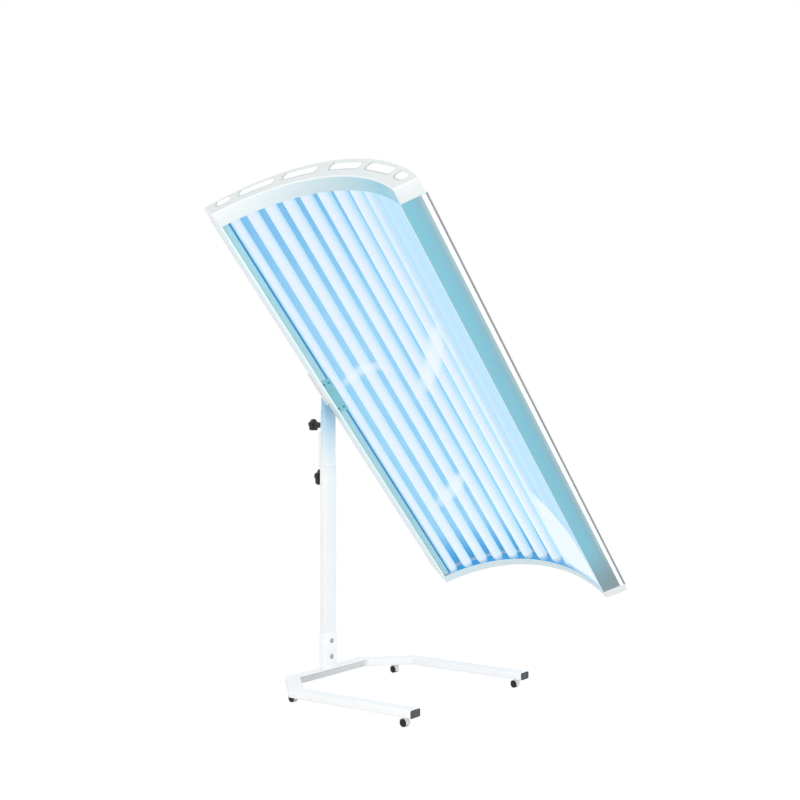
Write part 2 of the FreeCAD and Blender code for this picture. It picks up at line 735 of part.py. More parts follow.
def star_knob(label, radius, start, reach, face, z):
    """Five-lobed hand knob on a tapered neck, with its screw.

    start is the knob head's distance from the boss, reach the screw's length into the mast.
    """
    mouth = "(%s / 2 + boss_length + joint_gap)" % face
    back = "(%s + %s)" % (mouth, start)
    core = rod(label + "_core", "0.72 * %s" % radius, "knob_thick", ("-" + back, "0", z), "-x")
    lobes = [core]
    for i in range(5):
        angle = 90 + 72 * i
        y = "0.66 * %s * cos(%d)" % (radius, angle)
        lobe_z = "%s + 0.66 * %s * sin(%d)" % (z, radius, angle)
        lobes.append(rod("%s_lobe_%d" % (label, i), "0.34 * %s" % radius, "knob_thick",
                         ("-" + back, y, lobe_z), "-x"))
    neck = cone(label + "_neck", "0.62 * %s" % radius, "screw_radius + 3", start + " - 1",
                ("-" + back, "0", z), "x")
    screw_room = rod(label + "_room", "screw_radius", start + " + knob_thick - 4",
                     ("-%s + 1" % mouth, "0", z), "-x")
    node(label, cut(label + "_solid", fuse(label + "_form", neck, *lobes), screw_room))
    length = "%s + %s + knob_thick - 5 + %s" % (reach, start, "boss_length + joint_gap")
    screw = rod(label + "_screw_form", "screw_radius", length, ("-%s / 2 + %s" % (face, reach), "0", z),
                "-x")
    node(label.replace("_knob", "_screw"), screw)


def clamps():
    boss("lower_clamp_boss", "outer_x", "lower_clamp_z")
    boss("upper_clamp_boss", "middle_x", "upper_clamp_z")
    star_knob("lower_clamp_knob", "lower_knob_radius", "lower_knob_start", "(outer_wall + stage_gap - 0.1)",
              "outer_x", "lower_clamp_z")
    star_knob("upper_clamp_knob", "upper_knob_radius", "upper_knob_start",
              "(middle_wall + stage_gap - 0.1)",
              "middle_x", "upper_clamp_z")


def gas_spring():
    """Lift-assist gas spring hidden in the mast: cylinder on the base, rod on the middle post."""
    shell = rod("gas_shell", "gas_radius", "gas_top - gas_bottom", ("0", "gas_offset_y", "gas_bottom"))
    bore = rod("gas_bore_room", "gas_bore", "gas_top - gas_bottom - 16",
               ("0", "gas_offset_y", "gas_bottom + 8"))
    gland = rod("gas_gland_room", "gas_rod + running_gap", "20", ("0", "gas_offset_y", "gas_top - 12"))
    foot = box("gas_foot", "12", "12", "8.2", ("0", "gas_offset_y", "gas_bottom - 8"))
    node("gas_spring_cylinder", cut("gas_cylinder", fuse("gas_outer", shell, foot),
                                    fuse("gas_rooms", bore, gland)))
    length = "gas_pin_z - gas_bottom - 20"
    stem = rod("gas_stem", "gas_rod", length, ("0", "gas_offset_y", "gas_bottom + 20"))
    piston = rod("gas_piston", "gas_bore - running_gap", "10", ("0", "gas_offset_y", "gas_bottom + 16"))
    eye = box("gas_eye", "12", "12", "14", ("0", "gas_offset_y", "gas_pin_z - 7"))
    pin = rod("gas_pin", "gas_rod - 1", "middle_x - 0.6",
              ("-middle_x / 2 + 0.3", "gas_offset_y", "gas_pin_z"),
              "x")
    node("gas_spring_rod", fuse("gas_rod_solid", stem, piston, eye, pin))


# --------------------------------------------------------------------- pivot
def pivot():
    """Bushed block in the head post, the tilt shaft, its friction washer and lock knob."""
    block = box("pivot_block", "head_x - 2 * head_wall - 0.1", "head_y - 2 * head_wall - 0.1", "60",
                ("0", "0", "pivot_z - 30"))
    bore = rod("pivot_block_bore", "shaft_radius + bush_wall", "60", ("-30", "0", "pivot_z"), "x")
    node("pivot_block", cut("pivot_block_bored", block, bore))

    half = "(head_x / 2 + flange_thick)"
    sleeve = rod("bush_sleeve", "shaft_radius + bush_wall - 0.02", "2 * " + half,
                 ("-" + half, "0", "pivot_z"), "x")
    rim_a = rod("bush_rim_a", "bush_flange", "flange_thick - joint_gap",
                (half + " - flange_thick + joint_gap", "0",
                "pivot_z"), "x")
    rim_b = rod("bush_rim_b", "bush_flange", "flange_thick - joint_gap",
                ("-%s + flange_thick - joint_gap" % half, "0",
                "pivot_z"), "-x")
    room = rod("bush_room", "shaft_radius + pivot_gap", "60", ("-30", "0", "pivot_z"), "x")
    node("pivot_bush", cut("bush_bored", fuse("bush_form", sleeve, rim_a, rim_b), room))

    washer = rod("washer_disc", "bush_flange + 4", "bracket_plate_x - %s - 0.2" % half,
                 (half + " + 0.1", "0", "pivot_z"),
                 "x")
    washer_room = rod("washer_room", "shaft_radius + 0.02", "60", ("-30", "0", "pivot_z"), "x")
    node("friction_washer", cut("washer_ring", washer, washer_room))

    inner_end = "(bracket_plate_x + bracket_thick)"
    body = rod("shaft_body", "shaft_radius", inner_end + " + shaft_tail", ("-shaft_tail", "0", "pivot_z"),
               "x")
    head = rod("shaft_head", "shaft_radius + 5", "5", (inner_end, "0", "pivot_z"), "x")
    node("pivot_shaft", fuse("shaft_solid", body, head))

    knob_back = "(%s + 6)" % half
    core = rod("tilt_core", "0.72 * tilt_knob_radius", "18", ("-%s" % knob_back, "0", "pivot_z"), "-x")
    hub = rod("tilt_hub", "shaft_radius + 4", "5.5", ("-%s + 5.4" % knob_back, "0", "pivot_z"), "-x")
    lobes = [core, hub]
    for i in range(5):
        angle = 90 + 72 * i
        y = "0.66 * tilt_knob_radius * cos(%d)" % angle
        z = "pivot_z + 0.66 * tilt_knob_radius * sin(%d)" % angle
        lobes.append(rod("tilt_lobe_%d" % i, "0.34 * tilt_knob_radius", "18", ("-%s" % knob_back, y, z),
                         "-x"))
    thread = rod("tilt_thread_room", "shaft_radius + running_gap", "60", ("0", "0", "pivot_z"), "-x")
    tail = rod("tilt_knob_end", "0.5 * tilt_knob_radius + 3", "3",
               ("-%s - 18" % knob_back, "0", "pivot_z"), "-x")
    node("tilt_lock_knob", fuse("tilt_knob_solid",
                                cut("tilt_knob_form", fuse("tilt_form", *lobes), thread), tail))


# ------------------------------------------------------------ canopy section
MID_X = "(front_edge_x + shield_chord / 2)"
FRONT_Y = "(shield_rise - front_depth - %s)" % FRONT_R
BACK_HALF = "(shield_chord / 2 + side_run)"
BACK_R = "((%s ^ 2 + back_rise ^ 2) / (2 * back_rise))" % BACK_HALF
BACK_Y = "(side_depth - front_depth + back_rise - %s)" % BACK_R
SHELL_HALF = "(asin(%s / %s) - shell_margin * 1 deg)" % (BACK_HALF, BACK_R)
TIP = ("(front_edge_x - side_run)", "(side_depth - front_depth)")
EDGE = ("front_edge_x", "(-front_depth)")
BODY_LOW = "(foot_cap_length - canopy_half)"
BODY_LENGTH = "(2 * canopy_half - foot_cap_length - head_cap_length)"


def polar(radius, angle, centre_y=FRONT_Y):
    """Point on an arc about the section's axis; angle is from straight back, in degrees."""
    x = "(%s + (%s) * sin(%s))" % (MID_X, radius, angle)
    y = "(%s + (%s) * cos(%s))" % (centre_y, radius, angle)
    return (x, y)


def mirrored(corners):
    """The same outline on the free side, still anticlockwise."""
    return [("(2 * %s - %s)" % (MID_X, x), y) for x, y in reversed(corners)]


def along_side(reach, rise):
    """Point on the post-side outer face: reach from the back tip, rise off the face."""
    length = "sqrt(side_run ^ 2 + side_depth ^ 2)"
    x = "(%s + (%s) * side_run / %s - (%s) * side_depth / %s)" % (TIP[0], reach, length, rise, length)
    y = "(%s - (%s) * side_depth / %s - (%s) * side_run / %s)" % (TIP[1], reach, length, rise, length)
    return (x, y)


def rail_corners():
    """Side rail section: outer face, glazing slot and inner flange, anticlockwise."""
    angle = "(-%s)" % FRONT_ANGLE
    lip = "(%s + lip_angle * 1 deg)" % angle
    slot = "(%s + slot_inset_angle * 1 deg)" % angle
    flange = "(%s + flange_angle * 1 deg)" % angle
    root = "(%s + root_angle * 1 deg)" % angle
    return [
        TIP,
        EDGE,
        polar(FRONT_R, lip),
        polar("(%s + lip_thick)" % FRONT_R, lip),
        polar("(%s + lip_thick)" % FRONT_R, slot),
        polar("(%s + flange_drop)" % FRONT_R, slot),
        polar("(%s + flange_drop)" % FRONT_R, flange),
        polar("(%s + flange_drop + rail_wall)" % FRONT_R, flange),
        polar("(%s + flange_drop + rail_wall)" % FRONT_R, root),
        polar(BACK_R, "(-%s)" % SHELL_HALF, BACK_Y),
    ]


def rail_hollow():
    """The four corners that bound the rail's hollow chamber."""
    corners = rail_corners()
    return [corners[0], corners[5], corners[8], corners[9]]


def bolt_line(row, index):
    """Bolt of the pivot bracket: its start on the flange, along the section's radius."""
    angle = "(-%s + %s * 1 deg)" % (FRONT_ANGLE, row)
    return angle, "(pivot_along %s bolt_along)" % ("+" if index else "-")


def bracket_bolt(name, radius, start, length, row, index):
    """Cylinder along the section's radius at one bolt place, in the canopy's frame."""
    angle, along = bolt_line(row, index)
    x, y = polar(start, angle)
    obj = doc.addObject("Part::Cylinder", name)
    bind(obj, Radius=radius, Height=length)
    obj.Placement = Placement(Vector(), Rotation(Vector(0, 0, 1),
                                                 30).multiply(Rotation(Vector(1, 0, 0), -90)))
    yaw = "-(%s)" % angle
    half = "(%s) / 2" % yaw
    # turn of -90 about x, then of -angle about z, as one axis and angle
    bind(obj, Placement__Rotation__Axis__x="-cos(%s)" % half,
         Placement__Rotation__Axis__y="-sin(%s)" % half,
         Placement__Rotation__Axis__z="sin(%s)" % half,
         Placement__Rotation__Angle="2 * acos(cos(%s) * cos(45))" % half)
    return bind(obj, Placement__Base__x=x, Placement__Base__y=y, Placement__Base__z=along)


def all_bolts(name, radius, start, length, rows=("bolt_row_a", "bolt_row_b")):
    places = [(row, index) for row in rows for index in (0, 1)]
    return [bracket_bolt("%s_%s_%d" % (name, row, index), radius, start, length, row, index)
            for row, index in places]


def canopy_sides():
    """Aluminium side rails with their edge trims; the post side is drilled for the bracket."""
    flange_r = "(%s + flange_drop)" % FRONT_R
    room = "bolt_radius + bolt_clear"
    rooms = fuse("rail_bolt_rooms", *all_bolts("rail_bolt_room", room, flange_r + " - 3", "100",
                                               ("bolt_row_a",)),
                 *all_bolts("rail_screw_room", room, flange_r + " - 3", "10", ("bolt_row_b",)))
    rail = padded("rail_post_body", rail_corners(), BODY_LENGTH, BODY_LOW)
    hollowed(rail, "rail_post_hollow", rail_hollow(), "rail_wall", BODY_LENGTH, BODY_LOW)
    node("rail_post_side", on_canopy(cut("rail_post_drilled", rail, rooms)))
    free = padded("rail_free_body", mirrored(rail_corners()), BODY_LENGTH, BODY_LOW)
    hollowed(free, "rail_free_hollow", mirrored(rail_hollow()), "rail_wall", BODY_LENGTH, BODY_LOW)
    node("rail_free_side", on_canopy(free))
    strip = [
        along_side("trim_inset", "trim_thick"),
        along_side("trim_inset + trim_width", "trim_thick"),
        along_side("trim_inset + trim_width", "joint_gap"),
        along_side("trim_inset", "joint_gap"),
    ]
    trims = [
        padded("trim_post", strip, BODY_LENGTH + " - 1", BODY_LOW + " + 0.5"),
        padded("trim_free", mirrored(strip), BODY_LENGTH + " - 1", BODY_LOW + " + 0.5"),
    ]
    node("edge_trims", on_canopy(group("edge_trim_pair", *trims)))


def arc_sheet(name, radius, thick, half_angle, length, low, centre_y=FRONT_Y):
    """Curved sheet between two radii, over plus and minus the half angle."""
    outer = "(%s + %s)" % (radius, thick)
    corners = [
        polar(radius, "(-%s)" % half_angle, centre_y),
        polar(radius, half_angle, centre_y),
        polar(outer, half_angle, centre_y),
        polar(outer, "(-%s)" % half_angle, centre_y),
    ]
    return padded(name, corners, length, low, arcs={0: (radius, -1), 2: (outer, 1)})


def canopy_sheets():
    """Back shell, lamp reflector and clear shield."""
    gland = gland_rod("shell_gland_room", "gland_radius - 1.9", "-20", "40")
    shell = arc_sheet("shell_body", "(%s - shell_thick)" % BACK_R, "shell_thick",
                      "(%s - 0.06 * 1 deg)" % SHELL_HALF, BODY_LENGTH, BODY_LOW, BACK_Y)
    node("back_shell", on_canopy(cut("shell_drilled", shell, gland)))
    reflector = arc_sheet("reflector_body", "reflector_radius", "reflector_thick",
                          "reflector_half", "lamp_length - 8", "lamp_centre - lamp_length / 2 + 4")
    node("reflector", on_canopy(reflector))
    shield = arc_sheet("shield_body", "(%s + lip_thick + sheet_gap)" % FRONT_R, "shield_thick",
                       "(%s - (slot_inset_angle + 0.1) * 1 deg)" % FRONT_ANGLE,
                       BODY_LENGTH + " + 2 * shield_tuck", BODY_LOW + " - shield_tuck")
    node("shield", on_canopy(shield))


def cap_corners():
    """Full canopy section, anticlockwise from the post-side tip."""
    free_tip = ("(2 * %s - %s)" % (MID_X, TIP[0]), TIP[1])
    free_edge = ("(2 * %s - %s)" % (MID_X, EDGE[0]), EDGE[1])
    corners = [TIP, EDGE, free_edge, free_tip]
    return corners, {1: (FRONT_R, -1), 3: (BACK_R, 1)}


def vent_window(name, middle, span, low, length, grow="0"):
    """Curved window with rounded corners, cut along the lamps' direction."""
    inner = "(vent_circle - vent_height / 2 - %s)" % grow
    outer = "(vent_circle + vent_height / 2 + %s)" % grow
    first = "(%s - %s / 2 * 1 deg - %s / vent_circle * 1 rad)" % (middle, span, grow)
    last = "(%s + %s / 2 * 1 deg + %s / vent_circle * 1 rad)" % (middle, span, grow)
    corners = [polar(inner, first), polar(inner, last), polar(outer, last), polar(outer, first)]
    body = padded(name, corners, length, low, arcs={0: (inner, -1), 2: (outer, 1)})
    pad = body.Tip
    doc.recompute()
    edges = ["Edge%d" % (i + 1) for i, edge in enumerate(pad.Shape.Edges) if is_along(edge)]
    fillet = body.newObject("PartDesign::Fillet", name + "_corners")
    fillet.Base = (pad, edges)
    bind(fillet, Radius="vent_corner + %s" % grow)
    return body


def is_along(edge):
    """True for a straight edge parallel to the lamps."""
    return abs(edge.Vertexes[0].Z - edge.Vertexes[-1].Z) > 0.5 * edge.Length


def end_cap(label, length, low, plate_low, hollow_low):
    """Moulded cap: an end plate with six windows and a wall that wraps the section."""
    corners, arcs = cap_corners()
    body = padded(label + "_body", corners, length, low, arcs=arcs)
    hollowed(body, label + "_hollow", corners, "cap_wall", "%s - cap_plate" % length, hollow_low, arcs)
    windows = [
        vent_window("%s_window_%d" % (label, i), middle, span, plate_low, "cap_plate + 4")
        for i, (middle, span) in enumerate(VENTS)
    ]
    tools = fuse(label + "_windows", *windows)
    node(label, on_canopy(cut(label + "_open", body, tools)))


def canopy_ends():
    """Head and foot caps and the grilles behind their windows."""
    head_low = "(canopy_half - head_cap_length + joint_gap)"
    end_cap("head_end_cap", "head_cap_length - joint_gap", head_low, "canopy_half - cap_plate - 2",
            head_low)
    end_cap("foot_end_cap", "foot_cap_length - joint_gap", "-canopy_half", "-canopy_half - 2",
            "-canopy_half + cap_plate")
    grilles = []
    for end, low in (("head", "canopy_half - cap_plate - vent_thick - 0.05"),
                     ("foot", "-canopy_half + cap_plate + 0.05")):
        for i, (middle, span) in enumerate(VENTS):
            plate = vent_window("%s_grille_%d" % (end, i), middle, span, low, "vent_thick", "1.5")
            count = max(2, int(SIZES[span] / 1.1))
            slots = []
            for k in range(count):
                angle = "(%s + %s * %.4f * 1 deg)" % (middle, span, (k + 0.5) / count - 0.5)
                slots.append(grille_slot("%s_slot_%d_%d" % (end, i, k), angle, low))
            grilles.append(cut("%s_grille_open_%d" % (end, i), plate,
                               group("%s_slots_%d" % (end, i), *slots)))
    node("vent_grilles", on_canopy(group("grille_group", *grilles)))


def grille_slot(name, angle, low):
    """Radial slot of one grille."""
    obj = doc.addObject("Part::Box", name)
    bind(obj, Length="grille_slot", Width="vent_height - 10", Height="vent_thick + 4")
    x, y = polar("(vent_circle - vent_height / 2 + 5)", angle)
    obj.Placement = Placement(Vector(), Rotation(Vector(0, 0, 1), 30))
    bind(obj, Placement__Rotation__Angle="-(%s)" % angle)
    return bind(obj, Placement__Base__x="%s - grille_slot / 2 * cos(%s)" % (x, angle),
                Placement__Base__y="%s + grille_slot / 2 * sin(%s)" % (y, angle),
                Placement__Base__z=low + " - 2")


# --------------------------------------------------------------------- lamps
LAMP_LOW = "(lamp_centre - lamp_length / 2)"
LAMP_HIGH = "(lamp_centre + lamp_length / 2)"


def lamp_angle(index):
    return "((%d - (lamp_count - 1) / 2) * lamp_pitch)" % index


def lamps():
    """Glass tubes, their metal caps with two pins, and a holder at each end."""
    tubes, caps, holders = [], [], []
    for i in range(int(SIZES["lamp_count"])):
        x, y = polar("lamp_circle", lamp_angle(i))
        outer = rod("glass_%d" % i, "lamp_radius", "lamp_length - 2 * lamp_cap",
                    (x, y, LAMP_LOW + " + lamp_cap"))
        inner = rod("glass_room_%d" % i, "lamp_radius - lamp_wall", "lamp_length", (x, y, LAMP_LOW))
        tubes.append(cut("tube_%d" % i, outer, inner))
        for end, low, pin_low, holder_low in (
            ("foot", LAMP_LOW, LAMP_LOW + " - pin_reach", LAMP_LOW + " - holder_thick - 0.1"),
            ("head", LAMP_HIGH + " - lamp_cap", LAMP_HIGH, LAMP_HIGH + " + 0.1"),
        ):
            tag = "%s_%d" % (end, i)
            rim = rod("cap_" + tag, "lamp_radius", "lamp_cap", (x, y, low))
            pins, rooms = [], []
            for side in ("-", "+"):
                pin_x = "(%s %s pin_half_pitch)" % (x, side)
                name = tag + ("_a" if side == "-" else "_b")
                pins.append(rod("pin_" + name, "pin_radius", "pin_reach", (pin_x, y, pin_low)))
                rooms.append(rod("pin_room_" + name, "pin_radius + 0.1", "pin_reach + 2",
                                 (pin_x, y, pin_low + " - 1")))
            caps.append(fuse("lamp_cap_" + tag, rim, *pins))
            block = rod("holder_" + tag, "holder_radius", "holder_thick", (x, y, holder_low))
            holders.append(cut("lamp_holder_" + tag, block, group("holder_rooms_" + tag, *rooms)))
    node("lamp_tubes", on_canopy(group("tube_group", *tubes)))
    node("lamp_caps", on_canopy(group("cap_group", *caps)))
    node("lamp_holders", on_canopy(group("holder_group", *holders)))
    inner = "(shield_back + bulkhead_room)"
    width = "(reflector_radius - 0.2 - %s)" % inner
    foot = arc_sheet("foot_bulkhead", inner, width, "reflector_half", "bulkhead_thick",
                     LAMP_LOW + " - holder_thick - bulkhead_thick - 0.15")
    head = arc_sheet("head_bulkhead", inner, width, "reflector_half", "bulkhead_thick",
                     LAMP_HIGH + " + holder_thick + 0.15")
    node("lamp_bulkheads", on_canopy(group("bulkhead_group", foot, head)))


# ---------------------------------------------------------------- electrics
def radial_box(name, length, width, height, radius, angle, low):
    """Block on the section's radius: height outwards, width across, length along the lamps."""
    obj = doc.addObject("Part::Box", name)
    bind(obj, Length=width, Width=height, Height=length)
    x, y = polar(radius, angle)
    obj.Placement = Placement(Vector(), Rotation(Vector(0, 0, 1), 30))
    bind(obj, Placement__Rotation__Angle="-(%s)" % angle)
    return bind(obj, Placement__Base__x="%s - (%s) / 2 * cos(%s)" % (x, width, angle),
                Placement__Base__y="%s + (%s) / 2 * sin(%s)" % (y, width, angle), Placement__Base__z=low)


def electrics():
    """Six twin-lamp ballasts, the terminal block, mains gland and extractor fan."""
    seat = "ballast_seat"
    packs = []
    for i in range(6):
        angle = "(%.1f * ballast_step * 1 deg)" % (i - 2.5)
        packs.append(radial_box("ballast_%d" % i, "ballast_length", "ballast_width", "ballast_height",
                                seat, angle,
                                "ballast_start"))
    node("ballasts", on_canopy(group("ballast_group", *packs)))
    block = radial_box("terminal_form", "terminal_length", "terminal_width", "terminal_height", seat,
                       "(-gland_angle * 1 deg)", "gland_along - 110")
    node("terminal_block", on_canopy(group("terminal_group", block)))

    sleeve = gland_rod("gland_sleeve", "gland_radius - 2", "-gland_in", "gland_in + gland_out")
    nut = gland_rod("gland_nut", "gland_radius", "0.05", "gland_out - 4")
    bore = gland_rod("gland_room", "gland_bore", "-gland_in - 5", "60")
    node("mains_gland", on_canopy(cut("gland_open", fuse("gland_form", sleeve, nut), bore)))

    fan_low = "(canopy_half - cap_plate - vent_thick - fan_thick - 0.2)"
    angle = "(fan_angle * 1 deg)"
    frame = radial_box("fan_frame_form", "fan_thick", "fan_size", "fan_size",
                       "(fan_circle - fan_size / 2)", angle, fan_low)
    x, y = polar("fan_circle", angle)
    mouth = rod("fan_mouth", "fan_bore", "fan_thick + 4", (x, y, fan_low + " - 2"))
    ring = cut("fan_ring", frame, mouth)
    seat_disc = rod("fan_motor", "9", "3", (x, y, fan_low + " + 0.5"))
    arms = [
        box("fan_arm_a", "2 * fan_bore + 2", "4", "2", (x, y, fan_low + " + 0.5")),
        box("fan_arm_b", "4", "2 * fan_bore + 2", "2", (x, y, fan_low + " + 0.5")),
    ]
    spindle = rod("fan_spindle", "1.5", "fan_thick - 3", (x, y, fan_low + " + 1"))
    node("fan_frame", on_canopy(fuse("fan_frame_solid", ring, seat_disc, *(arms + [spindle]))))
    hub = rod("fan_hub", "9", "fan_thick - 5", (x, y, fan_low + " + 4"))
    blades = []
    for i in range(7):
        turn = i * 360.0 / 7
        blade = doc.addObject("Part::Box", "fan_blade_%d" % i)
        bind(blade, Length="fan_bore - 1.5", Width="2", Height="fan_thick - 6")
        blade.Placement = Placement(Vector(), Rotation(Vector(0, 0, 1), turn))
        bind(blade, Placement__Base__x=x, Placement__Base__y=y, Placement__Base__z=fan_low + " + 4.5")
        blades.append(blade)
    shaft_room = rod("fan_shaft_room", "1.5 + running_gap", "fan_thick + 10", (x, y, fan_low + " - 4"))
    node("fan_rotor", on_canopy(cut("fan_rotor_solid", fuse("fan_rotor_form", hub, *blades), shaft_room)))


def gland_rod(name, radius, start, length):
    """Cylinder square to the back shell at the gland, start measured from its outer face."""
    angle = "(-gland_angle * 1 deg)"
    x, y = polar("(%s + %s)" % (BACK_R, start), angle, BACK_Y)
    obj = doc.addObject("Part::Cylinder", name)
    bind(obj, Radius=radius, Height=length)
    half = "(gland_angle * 1 deg / 2)"
    bind(obj, Placement__Rotation__Axis__x="-cos(%s)" % half,
         Placement__Rotation__Axis__y="-sin(%s)" % half,
         Placement__Rotation__Axis__z="sin(%s)" % half,
         Placement__Rotation__Angle="2 * acos(cos(%s) * cos(45))" % half)
    return bind(obj, Placement__Base__x=x, Placement__Base__y=y, Placement__Base__z="gland_along")


# ------------------------------------------------------------ pivot bracket
def pivot_bracket():
    """Steel angle: a plate beside the mast and a wing bolted through the rail."""
    wall_a = along_back("wing_start")
    wall_b = along_back("wing_reach")
    root, end = wing_face()
    corners = [
        ("bracket_plate_x", TIP[1]),
        (TIP[0] + " - 0.5", TIP[1]),
        wall_a,
        wall_b,
        end,
        root,
        (root[0], "(pivot_depth + bracket_tail)"),
        ("bracket_plate_x", "(pivot_depth + bracket_tail)"),
    ]
    body = padded("bracket_body", corners, "bracket_length", "pivot_along - bracket_length / 2")
    bore = rod("bracket_bore", "shaft_radius + 0.02", "40", ("0", "pivot_depth", "pivot_along"), "x")
    flange_r = "(%s + flange_drop)" % FRONT_R
    rooms = all_bolts("bracket_bolt_room", "bolt_radius + bolt_clear", flange_r + " + 40", "60",
                      ("bolt_row_a",))
    node("pivot_bracket", on_canopy(cut("bracket_drilled", body, fuse("bracket_rooms", bore, *rooms))))

    bolts = []
    lip_back = "(%s + rail_wall + 0.2)" % flange_r
    for row, seat, nut_height in (("bolt_row_a", wing_radius("bolt_row_a"), "nut_thick"),
                                  ("bolt_row_b", lip_back, "(0.5 * nut_thick)")):
        reach = "(%s + %s + 0.5 * bolt_tail - %s + plate_thick)" % (seat, nut_height, flange_r)
        for index in (0, 1):
            name = "%s_%d" % (row, index)
            shank = bracket_bolt("shank_" + name, "bolt_radius", flange_r + " - plate_thick", reach, row,
                                 index)
            head = bracket_bolt("head_" + name, "bolt_head", flange_r + " - plate_thick - 0.45",
                                "plate_thick",
                                row, index)
            nut = bracket_bolt("nut_" + name, "bolt_head", seat, nut_height, row, index)
            bolts.append(fuse("rail_" + name, shank, head, nut))
    node("rail_bolts", on_canopy(group("rail_bolt_group", *bolts)))

    angle = "(-%s + (slot_inset_angle + 0.25) * 1 deg)" % FRONT_ANGLE
    end = "(-%s + (flange_angle - 0.15) * 1 deg)" % FRONT_ANGLE
    back = "(%s - joint_gap - 0.05)" % flange_r
    plate = padded(
        "plate_body",
        [polar("(%s - plate_thick)" % back, angle), polar("(%s - plate_thick)" % back, end),
         polar(back, end),
         polar(back, angle)],
        "bracket_length", "pivot_along - bracket_length / 2")
    heads = fuse("plate_rooms", *all_bolts("plate_room", "bolt_head + bolt_clear", flange_r + " - 6", "12"))
    node("rail_bracket_plate", on_canopy(cut("plate_drilled", plate, heads)))


def along_back(reach, rise="0"):
    """Point on the rail's rear wall: reach from the tip, rise off it."""
    end = polar(BACK_R, "(-%s)" % SHELL_HALF, BACK_Y)
    run = "(%s - %s)" % (end[0], TIP[0])
    climb = "(%s - %s)" % (end[1], TIP[1])
    length = "sqrt(%s ^ 2 + %s ^ 2)" % (run, climb)
    off = "(%s + 0.1)" % rise
    return ("(%s + %s * %s / %s - %s * %s / %s)" % (TIP[0], reach, run, length, off, climb, length),
            "(%s + %s * %s / %s + %s * %s / %s)" % (TIP[1], reach, climb, length, off, run, length))


def wing_face():
    """Rear face of the bracket's wing: its root beside the mast and its far end."""
    start = along_back("wing_start", "bracket_thick")
    return ("(bracket_plate_x + bracket_thick)", "(%s + 3)" % start[1]), along_back("wing_reach",
                                                                                    "bracket_thick")


def wing_radius(row):
    """Distance from the section's axis at which a bolt's nut clears the wing's rear face."""
    root, end = wing_face()
    run = "(%s - %s)" % (end[0], root[0])
    climb = "(%s - %s)" % (end[1], root[1])
    angle = "(-%s + %s * 1 deg)" % (FRONT_ANGLE, row)
    across = "((%s - %s) * %s - (%s - %s) * %s)" % (root[1], FRONT_Y, run, root[0], MID_X, climb)
    slope = "(cos(%s) * %s - sin(%s) * %s)" % (angle, run, angle, climb)
    lean = "(bolt_head * (sin(%s) * %s + cos(%s) * %s) / %s)" % (angle, run, angle, climb, slope)
    return "(%s / %s + sqrt(%s ^ 2) + nut_gap)" % (across, slope, lean)


# -------------------------------------------------------------------- build
def build():
    base_frame()
    leg_plugs()
    casters()
    mast()
    foot_bolts()
    clamps()
    gas_spring()
    pivot()
    canopy_sides()
    canopy_sheets()
    canopy_ends()
    lamps()
    electrics()
    pivot_bracket()
    doc.recompute()


def check_and_export():
    """Stop on any failed object or bad shape, then write one file per node."""
    for obj in doc.Objects:
        if "Invalid" in obj.State or "Error" in obj.State:
            raise RuntimeError("failed object: " + obj.Label)
    os.makedirs("parts", exist_ok=True)
    for label, obj in NODES.items():
        if obj.Shape.isNull() or not obj.Shape.isValid():
            raise RuntimeError("bad shape: " + label)
        if not obj.Shape.Solids:
            raise RuntimeError("no solid: " + label)
        print("%-28s solids %3d  volume %12.1f" % (label, len(obj.Shape.Solids), obj.Shape.Volume))
        obj.Shape.exportStep(os.path.join("parts", label + ".step"))
    print(len(NODES), "nodes")


build()
check_and_export()
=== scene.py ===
"""Sunbed canopy with twelve lamps, hung on a telescopic mast over a castored base."""
import math

import bpy
import bmesh
import numpy as np
from mathutils import Matrix, Vector


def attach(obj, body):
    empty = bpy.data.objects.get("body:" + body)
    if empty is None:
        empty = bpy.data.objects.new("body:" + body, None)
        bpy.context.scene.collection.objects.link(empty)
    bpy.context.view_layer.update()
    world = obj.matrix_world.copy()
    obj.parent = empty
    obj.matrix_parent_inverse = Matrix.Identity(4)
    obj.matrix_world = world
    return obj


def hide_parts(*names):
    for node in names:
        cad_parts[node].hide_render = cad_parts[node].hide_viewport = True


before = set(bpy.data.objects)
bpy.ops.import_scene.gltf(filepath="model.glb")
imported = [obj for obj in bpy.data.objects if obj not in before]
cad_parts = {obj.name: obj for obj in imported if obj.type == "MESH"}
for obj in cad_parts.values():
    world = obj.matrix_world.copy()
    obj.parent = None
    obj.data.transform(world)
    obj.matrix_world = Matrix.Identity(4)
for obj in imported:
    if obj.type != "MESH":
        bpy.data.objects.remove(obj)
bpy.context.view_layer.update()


# ------------------------------------------------------------------ camera
# The camera stands to the right of the part, level with the upper knob and about four
# metres off, and looks very slightly up.
CAMERA_AT, SENSOR_WIDTH, FOCAL_LENGTH = (2.7675, -3.3750, 0.9562), 36.0, 54.42
YAW, PITCH, ROLL = np.radians([35.95, 0.8, 0.09])


def placed(name, data):
    """New object that shows the data, linked into the scene."""
    made = bpy.data.objects.new(name, data)
    bpy.context.scene.collection.objects.link(made)
    return made


lens = bpy.data.cameras.new("lens")
lens.sensor_width, lens.lens = SENSOR_WIDTH, FOCAL_LENGTH
lens.clip_start, lens.clip_end = 0.05, 120.0
camera = placed("camera", lens)
camera.matrix_world = (Matrix.Translation(CAMERA_AT) @ Matrix.Rotation(YAW, 4, "Z")
                       @ Matrix.Rotation(math.pi / 2 + PITCH, 4, "X") @ Matrix.Rotation(-ROLL, 4, "Z"))
bpy.context.scene.camera = camera
bpy.context.scene.view_settings.view_transform = "Standard"


